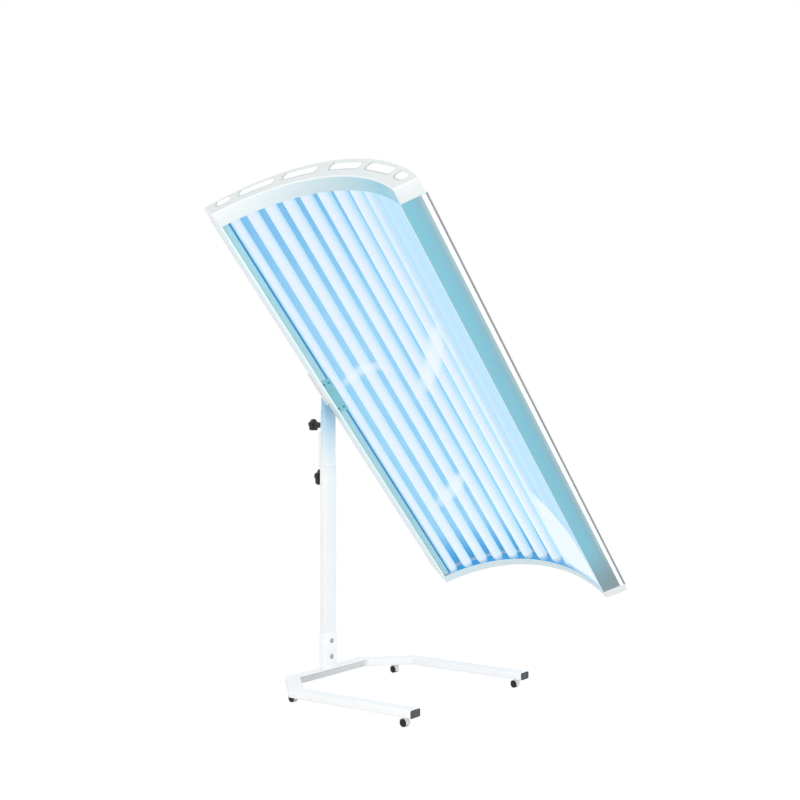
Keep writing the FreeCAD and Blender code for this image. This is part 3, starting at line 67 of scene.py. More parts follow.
# ---------------------------------------------------------- floor and light
# A white studio: a floor that shows white and keeps a faint shadow, a white surround,
# and three large soft lamps.
def tree_of(owner):
    """Emptied node tree of a material or world."""
    owner.use_nodes = True
    owner.node_tree.nodes.clear()
    return owner.node_tree


def add(tree, kind, inputs=(), **settings):
    """One node: its settings, and its inputs by name or place, each a number or another node's output."""
    node = tree.nodes.new("ShaderNode" + kind)
    for key, value in settings.items():
        setattr(node, key, value)
    for key, value in dict(inputs).items():
        socket = node.inputs[key]
        if isinstance(value, bpy.types.NodeSocket):
            tree.links.new(value, socket)
        else:
            socket.default_value = value
    return node


def both_of(tree, operation, one, other):
    """Product, maximum or the like of two values."""
    return add(tree, "Math", {0: one, 1: other}, operation=operation).outputs[0]


def mapped(tree, value, low, high, start=0.0, stop=1.0, smooth=False):
    """Value that runs from start to stop while another runs from low to high, eased at both ends if smooth."""
    return add(tree, "MapRange", {0: value, 1: low, 2: high, 3: start, 4: stop},
               interpolation_type="SMOOTHSTEP" if smooth else "LINEAR").outputs[0]


def mixed(tree, share, one, other):
    """Surface that gives way to the other by a share from 0 to 1."""
    return add(tree, "MixShader", {0: share, 1: one, 2: other}).outputs[0]


def seen_directly(tree):
    """1 for rays from the camera and for those that gloss or glass sends on, otherwise 0."""
    path = add(tree, "LightPath").outputs
    either = both_of(tree, "MAXIMUM", path["Is Camera Ray"], path["Is Glossy Ray"])
    return both_of(tree, "MAXIMUM", either, path["Is Transmission Ray"])


SKY = 0.9
world = bpy.data.worlds.new("studio")
bpy.context.scene.world = world
tree = tree_of(world)
level = mapped(tree, seen_directly(tree), 0, 1, SKY)
air = add(tree, "Background", {"Color": (1, 1, 1, 1), "Strength": level})
add(tree, "OutputWorld", {0: air.outputs[0]})

FLOOR_GLOW, FLOOR_WHITE, FLOOR_HALF, FLOOR_Z = 0.86, 1.06, 40.0, -0.0005
floor_paint = bpy.data.materials.new("studio_floor")
tree = tree_of(floor_paint)
lit = add(tree, "BsdfDiffuse", {"Color": (0.86, 0.86, 0.86, 1)})
glow = add(tree, "Emission", {"Color": (1, 1, 1, 1), "Strength": FLOOR_WHITE})
share = both_of(tree, "MULTIPLY", seen_directly(tree), FLOOR_GLOW)
add(tree, "OutputMaterial", {0: mixed(tree, share, lit.outputs[0], glow.outputs[0])})
floor_mesh = bpy.data.meshes.new("studio_floor")
floor_mesh.from_pydata([(x * FLOOR_HALF, y * FLOOR_HALF, FLOOR_Z) for x, y in ((-1, -1), (1, -1), (1, 1), (-1, 1))],
                       [], [(0, 1, 2, 3)])
floor_mesh.materials.append(floor_paint)
placed("studio_floor", floor_mesh)
SOFTBOX_SIZE = 2.6


def softbox(name, at, towards, power):
    """Square lamp at a point, facing another, hidden from the camera."""
    light = bpy.data.lights.new(name, "AREA")
    light.shape, light.size, light.energy = "SQUARE", SOFTBOX_SIZE, power
    box = placed(name, light)
    box.location = at
    box.rotation_euler = (Vector(at) - Vector(towards)).to_track_quat("Z", "Y").to_euler()
    box.visible_camera = False


softbox("key", (4.0, -2.6, 2.6), (0.2, 0.0, 0.8), 78)
softbox("fill", (-2.2, -4.2, 2.2), (0.2, 0.0, 0.9), 6)
softbox("rim", (0.5, 4.2, 3.4), (0.3, 0.0, 1.0), 20)


# --------------------------------------------------------------- base tubes
# Rectangular steel tube, 50 by 25 mm, mitred into an open C, welded at the four joints
# and powder-coated white. Painted shade greys the crossbar's inner face.
MM = 0.001


def shell(rows, loop=False):
    """Points and faces of a closed skin over rings of points, one ring per step along the piece.

    A face joins point j of ring i to point j + 1 and to the same two of ring i + 1. With loop the last
    ring joins the first; otherwise a flat face fills each end ring.
    """
    rows = np.asarray(rows, float)
    count, around = rows.shape[:2]
    index = np.arange(count * around).reshape(count, around)
    steps = np.vstack([index, index[:1]]) if loop else index
    a, b = steps[:-1], steps[1:]
    faces = np.stack([a, np.roll(a, -1, 1), np.roll(b, -1, 1), b], -1).reshape(-1, 4).tolist()
    if not loop:
        faces += [index[0][::-1].tolist(), index[-1].tolist()]
    return rows.reshape(-1, 3), faces


def piece(name, shells, material, body, stands_for=(), crease=35, marks=None):
    """One object from closed skins in millimetres: joined, doubles merged, faces turned outwards.

    marks are named numbers, one for each point of the skins, for the material to read.
    """
    points, faces, start = [], [], 0
    for verts, polygons in shells:
        points.append(verts)
        faces += [[i + start for i in polygon] for polygon in polygons]
        start += len(verts)
    mesh = bpy.data.meshes.new(name)
    mesh.from_pydata((np.vstack(points) * MM).tolist(), [], faces)
    for mark, values in (marks or {}).items():
        mesh.attributes.new(mark, "FLOAT", "POINT").data.foreach_set("value", np.ravel(values))
    form = bmesh.new()
    form.from_mesh(mesh)
    bmesh.ops.remove_doubles(form, verts=form.verts, dist=1e-6)
    bmesh.ops.dissolve_degenerate(form, edges=form.edges, dist=1e-7)
    bmesh.ops.recalc_face_normals(form, faces=form.faces)
    form.to_mesh(mesh)
    form.free()
    mesh.polygons.foreach_set("use_smooth", np.ones(len(mesh.polygons), bool))
    mesh.set_sharp_from_angle(angle=math.radians(crease))
    mesh.materials.append(material)
    made = placed(name, mesh)
    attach(made, body)
    if stands_for:
        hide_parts(*stands_for)


def rounded(half_x, half_y, corner, steps=4):
    """Ring of a rounded rectangle as a function of how far in from its edge it runs.

    Corner centre plus the radius left there, never under a small least, along a normal that turns a quarter.
    """
    turn = np.radians(np.linspace(0, 90, steps + 1))
    normals = np.concatenate([np.stack([np.cos(turn + q), np.sin(turn + q)], -1)
                              for q in np.radians([0, 90, 180, 270])])
    signs = np.repeat([(1, 1), (-1, 1), (-1, -1), (1, -1)], steps + 1, 0)
    halves = np.array([half_x, half_y])

    def ring_at(inset):
        bend = max(corner - inset, 0.3)
        return signs * (halves - inset - bend) + bend * normals

    return ring_at


def lofted(rows):
    """Rings in space: rows are pairs of an outline in the plane and its height."""
    return np.stack([np.column_stack([ring, np.full(len(ring), height)]) for ring, height in rows])


def stack(ring, rows):
    """One outline at several heights: rows are pairs of inset and height, and ring(inset) is the outline."""
    return lofted([(ring(inset), height) for inset, height in rows])


def repainted(tree, share, under, over):
    """Colour under, giving way to the colour over by a share from 0 to 1."""
    over = (*over, 1) if isinstance(over, tuple) else over
    return add(tree, "Mix", {0: share, 6: under, 7: over}, data_type="RGBA").outputs[2]


GRAIN_DEPTH = 0.03 * MM


def noise(tree, place, scale, detail, crisp=0.5):
    """Cloudy value around a half."""
    return add(tree, "TexNoise", {"Vector": place, "Scale": scale, "Detail": detail, "Roughness": crisp}).outputs[0]


def coating(name, colour, other, rough=(0.3, 0.4), metal=0.0, coat=0.0, patch=9.0, grain=900.0,
            stretch=(1, 1, 1), relief=0.04, tint=None, glow=0.0, dark=1.0):
    """Painted, moulded or metal surface.

    Colour drifts between two near shades over patches, roughness drifts with a second noise, and a fine grain
    raises it. stretch draws the grain out along an axis; tint is a function that repaints the colour; glow is
    how strongly the surface gives its own colour back as light, painted light on every part but the lamps' glass, and
    dark how much of it is left to the room's.
    """
    material = bpy.data.materials.new(name)
    tree = tree_of(material)
    place = add(tree, "TexCoord").outputs["Object"]
    drawn = add(tree, "Mapping", {"Vector": place, "Scale": stretch}).outputs[0]
    broad, wear, fine = (noise(tree, drawn, scale, detail, crisp) for scale, detail, crisp in
                         ((patch, 4.0, 0.6), (patch * 6.5, 3.0, 0.7), (grain, 2.0, 0.5)))
    paint = repainted(tree, mapped(tree, broad, 0.35, 0.65), (*colour, 1), other)
    if tint:
        paint = tint(tree, place, paint)
    dull = mapped(tree, wear, 0.3, 0.7, *rough)
    bump = add(tree, "Bump", {"Strength": relief, "Distance": GRAIN_DEPTH, "Height": fine}).outputs[0]
    inputs = {"Base Color": paint, "Roughness": dull, "Normal": bump, "Metallic": metal, "Coat Weight": coat}
    if glow:
        inputs.update({"Emission Color": paint, "Emission Strength": glow})
    if dark < 1:
        inputs["Base Color"] = repainted(tree, 1 - dark, paint, (0.0, 0.0, 0.0))
    surface = add(tree, "BsdfPrincipled", inputs)
    add(tree, "OutputMaterial", {0: surface.outputs[0]})
    return material


TUBE_HALF, TUBE_LOW, TUBE_HIGH = 25.0, 33.0, 58.0
CROSSBAR_X, CROSSBAR_HALF, LEG_Y, LEG_END = 0.5, 195.355, 333.5, 617.0
CORNER_X = 138.645
INNER_FACE, INNER_HALF = 25.5, 185.0
# painted shade on the crossbar's inner face: its grey and the least share of it
CROSSBAR_PAINTED_SHADE, PAINTED_SHADE_LEAST = (0.43, 0.425, 0.42), 0.72


def within(tree, place, share, limits):
    """Share cut down along the axes: limits are axis, place of the least, place of the full share, and the least."""
    along = add(tree, "SeparateXYZ", {0: place}).outputs
    for axis, none, full, least in limits:
        share = both_of(tree, "MULTIPLY", share, mapped(tree, along[axis], none * MM, full * MM, least))
    return share


def crossbar_painted_shade(tree, place, paint):
    """Painted shade laid grey over the crossbar's inner face, fading towards its far end and out above it."""
    across = add(tree, "SeparateXYZ", {0: place}).outputs[1]
    far = mapped(tree, across, (INNER_HALF + 4) * MM, -INNER_HALF * MM, smooth=True)
    share = within(tree, place, mapped(tree, far, 0, 1, PAINTED_SHADE_LEAST), (
        (0, INNER_FACE - 0.7, INNER_FACE - 0.2, 0), (1, INNER_HALF + 12, INNER_HALF - 10, 0),
        (1, -INNER_HALF - 12, 4 - INNER_HALF, 0), (2, TUBE_HIGH - 7, TUBE_HIGH - 1, PAINTED_SHADE_LEAST)))
    return repainted(tree, share, paint, CROSSBAR_PAINTED_SHADE)


# the frame coat's tint paints shade on the crossbar's inner face
frame_white = coating("frame_powder_coat", (0.93, 0.925, 0.92), (0.91, 0.905, 0.9), rough=(0.28, 0.42),
                      grain=1100, relief=0.08, tint=crossbar_painted_shade)


def unit(vectors):
    """Vectors with their length made one."""
    return np.asarray(vectors, float) / np.linalg.norm(vectors, axis=-1, keepdims=True)


def mitred(ring, path):
    """An outline carried level along a path, its width drawn out at each corner so both runs keep theirs."""
    path = np.asarray(path, float)
    runs = unit(np.diff(path, axis=0))
    before, after = np.vstack([runs[:1], runs]), np.vstack([runs, runs[-1:]])
    side = np.stack([before[:, 1] + after[:, 1], -before[:, 0] - after[:, 0]], -1)
    side /= (1 + (before * after).sum(1))[:, None]
    across, height = ring[:, 0], ring[:, 1]
    return np.concatenate([path[:, None, :] + side[:, None, :] * across[None, :, None],
                           np.broadcast_to(height, (len(path), len(height)))[..., None]], -1)


route = [(LEG_END, -LEG_Y), (CORNER_X, -LEG_Y), (CROSSBAR_X, -CROSSBAR_HALF),
         (CROSSBAR_X, CROSSBAR_HALF), (CORNER_X, LEG_Y), (LEG_END, LEG_Y)]
TUBE_MID, TUBE_TALL, TUBE_ROUND, TUBE_WALL = (TUBE_LOW + TUBE_HIGH) / 2, (TUBE_HIGH - TUBE_LOW) / 2, 3.2, 1.5
WELD_ROWS = ((-2.4, 0.35), (-1.5, -0.45), (0.0, -0.75), (1.5, -0.45), (2.4, 0.35))
section = rounded(TUBE_HALF, TUBE_TALL, TUBE_ROUND)
outside, inside = (mitred(section(inset) + (0, TUBE_MID), route) for inset in (0.0, TUBE_WALL))
welds = []
for back, here, on in zip(route, route[1:], route[2:]):
    into, out_of = unit(np.diff([back, here, on], axis=0))
    welds.append(shell([mitred(section(inset) + (0, TUBE_MID), [back, here, on])[1]
                        + np.append(into if reach < 0 else out_of, 0.0) * reach for reach, inset in WELD_ROWS]))
piece("base_tube", [shell(np.concatenate([outside, inside[::-1]]), loop=True)] + welds, frame_white, "base",
      ["rear_crossbar", "base_corner_left", "base_corner_right", "base_leg_left", "base_leg_right"])


# -------------------------------------------------------------- leg end plugs
# Dark grey plastic plugs pressed into the two open tube ends, each with a raised lip
# round a shallow panel and a stub inside the tube.
plug_grey = coating("plug_plastic", (0.05, 0.05, 0.052), (0.064, 0.064, 0.066), rough=(0.5, 0.65),
                    grain=1500, relief=0.2)


def aimed(points, at, axis):
    """Points drawn on a height axis, turned so that height runs along axis, and moved to a place."""
    axis = unit(axis)
    side = np.cross((0.0, 0.0, 1.0), axis)
    side = np.array((1.0, 0.0, 0.0)) if np.linalg.norm(side) < 1e-6 else unit(side)
    frame_of = np.stack([side, np.cross(axis, side), axis])
    return np.asarray(points) @ frame_of + np.asarray(at, float)


STUB_ROOM = 1.65
lip = stack(rounded(TUBE_HALF, TUBE_TALL, 4.6), [(0.3, 0.05), (0.0, 0.3), (0.0, 1.6), (0.25, 2.2), (0.9, 2.5),
                                                 (3.4, 2.5), (3.8, 2.1), (7.0, 2.1)])
stub = stack(rounded(TUBE_HALF - STUB_ROOM, TUBE_TALL - STUB_ROOM, 2.2), [(0.6, -18.0), (0.0, -17.0), (0.0, 0.1)])
plugs = [shell(aimed(part, (LEG_END, y, TUBE_MID), (1, 0, 0))) for y in (-LEG_Y, LEG_Y) for part in (lip, stub)]
piece("leg_plugs", plugs, plug_grey, "base", ["leg_end_plugs"])


# ------------------------------------------------------------------- casters
# Twin-wheel casters: black nylon wheels on a steel axle, a light grey moulded hood that
# swivels on a stem, and a nylon insert pressed into the tube from below.
hood_grey = coating("caster_hood", (0.8, 0.8, 0.81), (0.74, 0.74, 0.75), rough=(0.16, 0.26), coat=0.3, grain=1300,
                    relief=0.05)
wheel_black = coating("caster_wheel", (0.004, 0.004, 0.004), (0.008, 0.008, 0.008), rough=(0.55, 0.75), grain=1600,
                      relief=0.15)
nylon_white = coating("nylon", (0.78, 0.78, 0.76), (0.72, 0.72, 0.70), rough=(0.4, 0.52), grain=1200, relief=0.1)
WHEEL_R, AXLE_Z, TRAIL, WHEEL_START, HOOD_ROOM, WEB_R = 12.5, 12.5, 10.0, 3.2, 1.65, 8.1


def compass(radians):
    """Points at those angles, at a distance of one."""
    return np.stack([np.cos(radians), np.sin(radians)], -1)


def full_turn(around):
    """That many even angles round a circle."""
    return np.linspace(0, 2 * np.pi, around, endpoint=False)


def turned(rows, around=48):
    """Round body: rows of radius and height, each a circle of that radius at that height."""
    return lofted([(compass(full_turn(around)) * radius, height) for radius, height in rows])


def coated(material, *nodes):
    """Gives carried-over nodes that material and no other."""
    for node in nodes:
        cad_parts[node].data.materials.clear()
        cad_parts[node].data.materials.append(material)


def swept_round(ring, radius, angles, centre):
    """Outline carried round an axle along y: each ring point is (outwards, along the axle) at an angle."""
    out, along = ring[:, 0] + radius, ring[:, 1]
    turn = np.radians(angles)[:, None]
    return np.stack([centre[0] + out * np.cos(turn), np.broadcast_to(centre[1] + along, (len(angles), len(along))),
                     centre[2] + out * np.sin(turn)], -1)


WHEEL_ROWS = [(0.6, 7.5), (2.4, 7.5), (2.5, 7.0), (4.4, 7.0), (4.8, 6.3), (9.3, 6.3), (9.8, 6.9), (11.1, 7.0),
              (12.0, 6.6), (12.5, 5.5), (12.5, 1.6), (12.0, 0.5), (11.1, 0.1), (5.0, 0.0), (0.6, 0.0)]
CASTERS = {"rear_left": (93.0, 287.855), "rear_right": (93.0, -287.855),
           "front_left": (587.5, 333.5), "front_right": (587.5, -333.5)}
AXLE_ROWS, HUB_ROWS = [(2.4, -3.3), (2.4, 3.3)], [(2.55, -2.9), (5.0, -2.9), (5.0, 2.9), (2.55, 2.9)]
STEM_ROWS = [(7.6, 22.5), (8.4, 26.0), (8.5, 27.0), (8.5, 29.8), (7.9, 30.8), (4.0, 31.0), (4.0, 48.2), (3.4, 49.0)]
hood_arc = np.linspace(-20, 154, 40)
for place, (x, y) in CASTERS.items():
    axle = (x - TRAIL, y, AXLE_Z)
    pair = [shell(aimed(turned(WHEEL_ROWS), (axle[0], y + side * WHEEL_START, AXLE_Z), (0, side, 0)))
            for side in (-1, 1)]
    pair.append(shell(aimed(turned(AXLE_ROWS), axle, (0, 1, 0))))
    piece("wheels_" + place, pair, wheel_black, "wheels_" + place, ["caster_wheels_" + place])
    parts = [shell(swept_round(rounded(0.85, 10.4, 0.8, 3)(0.0), WHEEL_R + HOOD_ROOM, hood_arc, axle)),
             shell(swept_round(rounded(5.3, 2.9, 1.2, 2)(0.0), WEB_R, hood_arc, axle)),
             shell(aimed(turned(STEM_ROWS), (x, y, 0), (0, 0, 1))),
             shell(aimed(turned(HUB_ROWS), axle, (0, 1, 0)), loop=True)]
    piece("caster_" + place, parts, hood_grey, "swivel_" + place, ["caster_housing_" + place])
coated(nylon_white, "caster_inserts")


# ---------------------------------------------------------------------- mast
# Three rectangular steel tubes that slide in one another, the outer one clamped in a
# welded foot sleeve by two domed bolts. Nylon rings on the tube mouths guide the inner ones.
# painted lamp light on the upper mast: its blue and the heights where it starts, is full and goes
PAINTED_SPILL_BLUE, SPILL_LOW, SPILL_FULL, SPILL_STOP, SPILL_GONE = (0.31, 0.63, 0.84), 740.0, 1055.0, 1080.0, 1120.0


def painted_lamp_spill(tree, place, paint):
    """Painted blue lamp light on the upper mast, from none at the lower clamp to full beside the canopy.

    It lies on the two faces turned to the canopy and the front, and not on the other two or on the top end.
    """
    height = add(tree, "SeparateXYZ", {0: place}).outputs[2]
    share = mapped(tree, height, SPILL_LOW * MM, SPILL_FULL * MM, smooth=True)
    share = within(tree, place, share, ((0, -9.3, -6.0, 0), (1, 29.2, 26.0, 0), (2, SPILL_GONE, SPILL_STOP, 0)))
    return repainted(tree, share, paint, PAINTED_SPILL_BLUE)


# the mast coat and the guide rings carry the painted blue lamp light
mast_white = coating("mast_powder_coat", (0.885, 0.88, 0.875), (0.865, 0.86, 0.855), rough=(0.3, 0.42), grain=1100,
                     relief=0.07, tint=painted_lamp_spill)
ring_white = coating("guide_nylon", (0.87, 0.865, 0.86), (0.85, 0.845, 0.84), rough=(0.35, 0.45), grain=1200,
                     relief=0.08, tint=painted_lamp_spill)
bolt_steel = coating("zinc_plated_steel", (0.42, 0.43, 0.45), (0.34, 0.35, 0.37), rough=(0.22, 0.4), metal=1.0,
                     grain=700, relief=0.05)


def pipe(ring, wall, low, high, lip=0.5):
    """Rows of a hollow: up the outside, over a rounded mouth, down the inside and back."""
    return stack(ring, [(lip, low), (0.0, low + lip), (0.0, high - lip), (lip, high), (wall - lip * 0.6, high),
                        (wall, high - lip), (wall, low + lip), (wall - lip * 0.6, low)])


SLEEVE_FOOT, SLEEVE_TOP, SLEEVE_WALL = 58.05, 186.0, 2.5
POST_ROUND, GUIDE_WALL, OUTER_TOP, MIDDLE_TOP, HEAD_TOP = 2.6, 1.42, 775.0, 975.0, 1180.0
POSTS = {"outer": (12.5, 32.5, SLEEVE_FOOT, OUTER_TOP, 1.3, "base"),
         "middle": (11.0, 31.0, 390.0, MIDDLE_TOP, 1.3, "middle_mast"),
         "head": (9.5, 29.5, 630.0, HEAD_TOP, 1.5, "head_mast")}
for post, (half_x, half_y, low, high, wall, body) in POSTS.items():
    piece(post + "_post_tube", [shell(pipe(rounded(half_x, half_y, POST_ROUND), wall, low, high), loop=True)],
          mast_white, body, [post + "_post"])
bead = stack(rounded(17.2, 37.2, 5.4), [(1.9, 60.9), (1.2, 60.1), (0.5, 59.2), (0.1, 58.4), (0.3, 58.0), (2.6, 58.0),
                                        (2.6, 60.9)])
sleeve = pipe(rounded(15.1, 35.1, 3.6), SLEEVE_WALL, SLEEVE_FOOT, SLEEVE_TOP, 0.9)
piece("foot_sleeve", [shell(sleeve, loop=True), shell(bead, loop=True)], frame_white, "base",
      ["post_foot_sleeve"])

for guide, post in (("lower", "outer"), ("upper", "middle")):
    half_x, half_y, _, low, _, body = POSTS[post]
    rows = [(0.0, low + 0.1), (0.0, low + 2.9), (0.3, low + 3.7), (0.7, low + 4.0), (GUIDE_WALL - 0.2, low + 4.0),
            (GUIDE_WALL, low + 3.7), (GUIDE_WALL, low + 0.1)]
    piece(guide + "_guide_collar_ring", [shell(stack(rounded(half_x, half_y, POST_ROUND), rows), loop=True)],
          ring_white, body, [guide + "_guide_collar"])
post_lid = stack(rounded(9.5, 29.5, POST_ROUND), [(inset, HEAD_TOP + rise) for inset, rise in (
    (0.2, 0.05), (0.0, 0.4), (0.0, 1.8), (0.7, 2.8), (1.6, 3.05), (6.0, 3.05))])
post_stub = stack(rounded(7.9, 27.9, 1.8), [(inset, HEAD_TOP + rise) for inset, rise in (
    (0.6, -8.0), (0.0, -7.4), (0.0, 0.2))])
piece("head_post_plug", [shell(post_lid), shell(post_stub)], nylon_white, "head_mast",
      ["head_post_cap"])


def hexagon(radius):
    """Six-sided ring of that radius across its corners, less the inset."""
    return lambda inset: (radius - inset) * compass(full_turn(6) + math.pi / 6)


BOLT_HEIGHTS, BOLT_FACE = (98.0, 154.0), 15.12
dome = turned([(5.0, -8.0), (5.0, 0.0), (8.4, 0.05), (8.5, 0.4), (8.5, 1.4), (8.2, 2.2), (7.2, 3.3), (5.6, 4.1),
               (3.4, 4.5), (1.2, 4.6)])
shank = turned([(5.0, 0.0), (5.0, 21.0), (5.0, 22.4), (4.2, 23.0)], 24)
nut = stack(hexagon(8.6), [(1.0, 0.0), (0.0, 0.6), (0.0, 5.6), (1.0, 6.4)])
foot_bolts = [shell(aimed(part, (at, 0, z), (way, 0, 0))) for z in BOLT_HEIGHTS
              for part, at, way in ((dome, BOLT_FACE, 1), (shank, 0, -1), (nut, -BOLT_FACE, -1))]
piece("foot_clamp_bolts", foot_bolts, bolt_steel, "base", ["foot_bolts"])

STOP_LOW, STOP_HIGH, STOP_ROUND, STOP_X = 779.3, 901.0, 1.6, -17.05
turn = np.radians(np.linspace(0, 90, 4))
rise = [(STOP_ROUND * (1 - math.sin(t)), STOP_LOW + STOP_ROUND * (1 - math.cos(t))) for t in turn]
stop = stack(rounded(6.0, 29.0, 2.4), rise + [(inset, STOP_HIGH + STOP_LOW - z) for inset, z in reversed(rise)])
piece("stop_block", [shell(stop + (STOP_X, 0, 0))], mast_white, "middle_mast", ["lift_stop_block"])


# -------------------------------------------------------------- height clamps
# Each sliding tube is held by a black five-lobed hand knob on a screw that runs in a
# threaded boss welded to the tube's left face.
knob_black = coating("knob_plastic", (0.006, 0.007, 0.010), (0.012, 0.013, 0.018), rough=(0.42, 0.6),
                     grain=1500, relief=0.12)


def lobed(radius, depth, count=5, around=100):
    """Ring with lobes: radius less the depth times a power of half of (1 - cos of count turns), less the inset."""
    turn = full_turn(around)
    wave = radius - depth * (0.5 - 0.5 * np.cos(count * (turn - np.pi / 2))) ** 1.3
    return lambda inset: (wave - inset)[:, None] * compass(turn)


def hand_knob(radius, reach, neck, thick, bore=0.0):
    """Rows of a knob from its neck outwards: a cone that swells into lobes with rounded edges and a dished face.

    With a bore the rows start and end on it, and the knob is closed along it.
    """
    full, hub = lobed(radius, 0.2 * radius), lobed(radius, 0.0)
    rows = [(hub, radius - neck, 1.0), (hub, radius - neck - 0.6, 1.6), (hub, radius - neck * 1.15, reach * 0.5)]
    rows += [(hub, radius * 0.38, reach), (full, radius * 0.2, reach + 0.3), (full, radius * 0.05, reach + 1.4),
             (full, 0.0, reach + 3.6), (full, 0.0, reach + thick - 4.0), (full, radius * 0.03, reach + thick - 1.8),
             (full, radius * 0.12, reach + thick - 0.4), (full, radius * 0.25, reach + thick)]
    if bore:
        rows = [(hub, radius - bore, 1.0)] + rows + [(hub, radius - bore, reach + thick)]
    else:
        rows += [(hub, radius * 0.52, reach + thick - 0.3), (hub, radius * 0.6, reach + thick - 1.5),
                 (hub, radius * 0.92, reach + thick - 1.6)]
    return lofted([(ring(inset), height) for ring, inset, height in rows])


BOSS_TALL, CLAMP_KNOB_THICK = 9.0, 19.0
BOSS = [(4.98, 0.0), (11.0, 0.0), (11.0, 7.6), (10.2, 8.7), (9.4, BOSS_TALL), (4.98, BOSS_TALL)]
BOSS_BEAD = [(11.0, 0.0), (13.2, 0.05), (13.0, 0.6), (12.0, 1.4), (11.0, 2.2)]
CLAMPS = {"lower": (738.0, 12.55, 30.0, 3.5, 12.5, "base"), "upper": (927.0, 11.05, 22.0, 39.0, 8.4, "middle_mast")}
for level, (z, face, radius, reach, neck, body) in CLAMPS.items():
    boss_parts = [shell(aimed(turned(rows), (-face, 0, z), (-1, 0, 0)), loop=True) for rows in (BOSS, BOSS_BEAD)]
    piece(level + "_boss", boss_parts, mast_white, body, [level + "_clamp_boss"])
    knob = aimed(hand_knob(radius, reach, neck, CLAMP_KNOB_THICK), (-face - BOSS_TALL, 0, z), (-1, 0, 0))
    piece(level + "_knob", [shell(knob)], knob_black, level + "_clamp", [level + "_clamp_knob"])


# --------------------------------------------------------------------- pivot
# The canopy hangs on a steel shaft that runs through a nylon-bushed block in the head
# post. A friction washer and a black lock knob hold its tilt.
PIVOT_Z, SHAFT_R, THREAD_R, THREAD_PITCH, TILT_KNOB_X = 1134.0, 10.0, 9.98, 1.5, -17.5
tilt = aimed(hand_knob(radius=21.0, reach=5.6, neck=13.6, thick=18.0, bore=SHAFT_R + 0.05), (TILT_KNOB_X, 0, PIVOT_Z),
             (-1, 0, 0))
piece("tilt_knob", [shell(tilt, loop=True)], knob_black, "tilt_lock", ["tilt_lock_knob"])
shaft_rows = [(4.0, -35.0), (8.6, -35.0), (9.6, -34.0)]
for thread in np.arange(-33.0, -20.0, THREAD_PITCH):
    shaft_rows += [(THREAD_R, thread), (THREAD_R, thread + 0.35), (9.35, thread + 0.75), (9.35, thread + 1.1)]
shaft_rows += [(THREAD_R, -19.0), (THREAD_R, 24.0), (14.2, 24.0), (14.98, 24.8), (14.98, 27.6), (13.6, 29.0),
               (6.6, 29.0), (6.2, 28.6), (6.0, 25.6), (1.0, 25.4)]
piece("tilt_shaft", [shell(aimed(turned(shaft_rows), (0, 0, PIVOT_Z), (1, 0, 0)))], bolt_steel, "canopy",
      ["pivot_shaft"])


cast_steel = coating("blackened_steel", (0.045, 0.047, 0.05), (0.07, 0.072, 0.075), rough=(0.38, 0.55), metal=0.9,
                     patch=30, grain=900, relief=0.1)
friction_lining = coating("friction_lining", (0.03, 0.028, 0.026), (0.05, 0.046, 0.04), rough=(0.7, 0.85), patch=60,
                          grain=2200, relief=0.4)
coated(nylon_white, "pivot_bush")
coated(cast_steel, "pivot_block")
coated(friction_lining, "friction_washer")
coated(bolt_steel, "lower_clamp_screw", "upper_clamp_screw")


# ---------------------------------------------------------------- gas spring
# A gas spring stands inside the mast and carries the sliding tubes: a black-painted
# cylinder below and a hard-chromed rod above.
cylinder_black = coating("gas_cylinder_paint", (0.02, 0.02, 0.021), (0.03, 0.03, 0.031), rough=(0.3, 0.42), coat=0.2,
                         grain=1200, relief=0.06)
rod_chrome = coating("chromed_rod", (0.62, 0.63, 0.64), (0.58, 0.59, 0.6), rough=(0.08, 0.14), metal=1.0, grain=500,
                     stretch=(1, 1, 30), relief=0.02)
coated(cylinder_black, "gas_spring_cylinder")
coated(rod_chrome, "gas_spring_rod")


# ------------------------------------------------------------------ end caps
# Each end of the canopy is a white moulded cap: a rounded plate with six vent windows
# and a wall that wraps the rails, the shield and the back shell.
TILT = math.radians(44.5)
PIVOT_U, PIVOT_D = 111.0, 113.0
MID_X, FRONT_R, FRONT_Y = 447.25, 556.615, -485.115
BACK_R, BACK_Y = 609.831, -446.581
EDGE_HALF, EDGE_D, TIP_HALF, TIP_D = 347.75, -50.5, 418.75, -3.25
SIDE_RUN, SIDE_DEPTH = TIP_HALF - EDGE_HALF, TIP_D - EDGE_D
HEAD_END, HEAD_JOIN, FOOT_END, FOOT_JOIN = 917.5, 865.55, -917.5, -880.55
CAP_ROUND, CAP_WALL, CAP_PLATE = 6.0, 2.0, 3.0
WINDOW_R, WINDOW_HALF, WINDOW_CORNER, LIP = 611.0, 16.0, 12.0, 1.1
WINDOWS = ((-34.3, 2.3), (-23.3, 5.8), (-8.4, 5.8), (8.4, 5.8), (23.3, 5.8), (34.3, 2.3))
CELLS = (-30.55, -15.85, 0.0, 15.85, 30.55)


def on_canopy(points):
    """Points drawn as across, deep and along the lamps, turned by the tilt about the pivot into place."""
    across, deep, along = np.moveaxis(np.asarray(points, float), -1, 0)
    deep, along = deep - PIVOT_D, along - PIVOT_U
    return np.stack([across, deep * math.sin(TILT) - along * math.cos(TILT),
                     PIVOT_Z + deep * math.cos(TILT) + along * math.sin(TILT)], -1)


def polar(radius, degrees, centre=FRONT_Y):
    """Point of the section at a radius and angle from straight back, about the front or back arc's centre."""
    turn = np.radians(degrees)
    return np.stack([MID_X + radius * np.sin(turn), centre + radius * np.cos(turn)], -1)


def on_back(degrees, inset):
    """Where a line at an angle from the front arc's centre crosses the back arc, as an angle about its own centre."""
    way, lift = np.radians(degrees), FRONT_Y - BACK_Y
    reach = -lift * math.cos(way) + math.sqrt((BACK_R - inset) ** 2 - (lift * math.sin(way)) ** 2)
    return math.degrees(math.atan2(reach * math.sin(way), lift + reach * math.cos(way)))


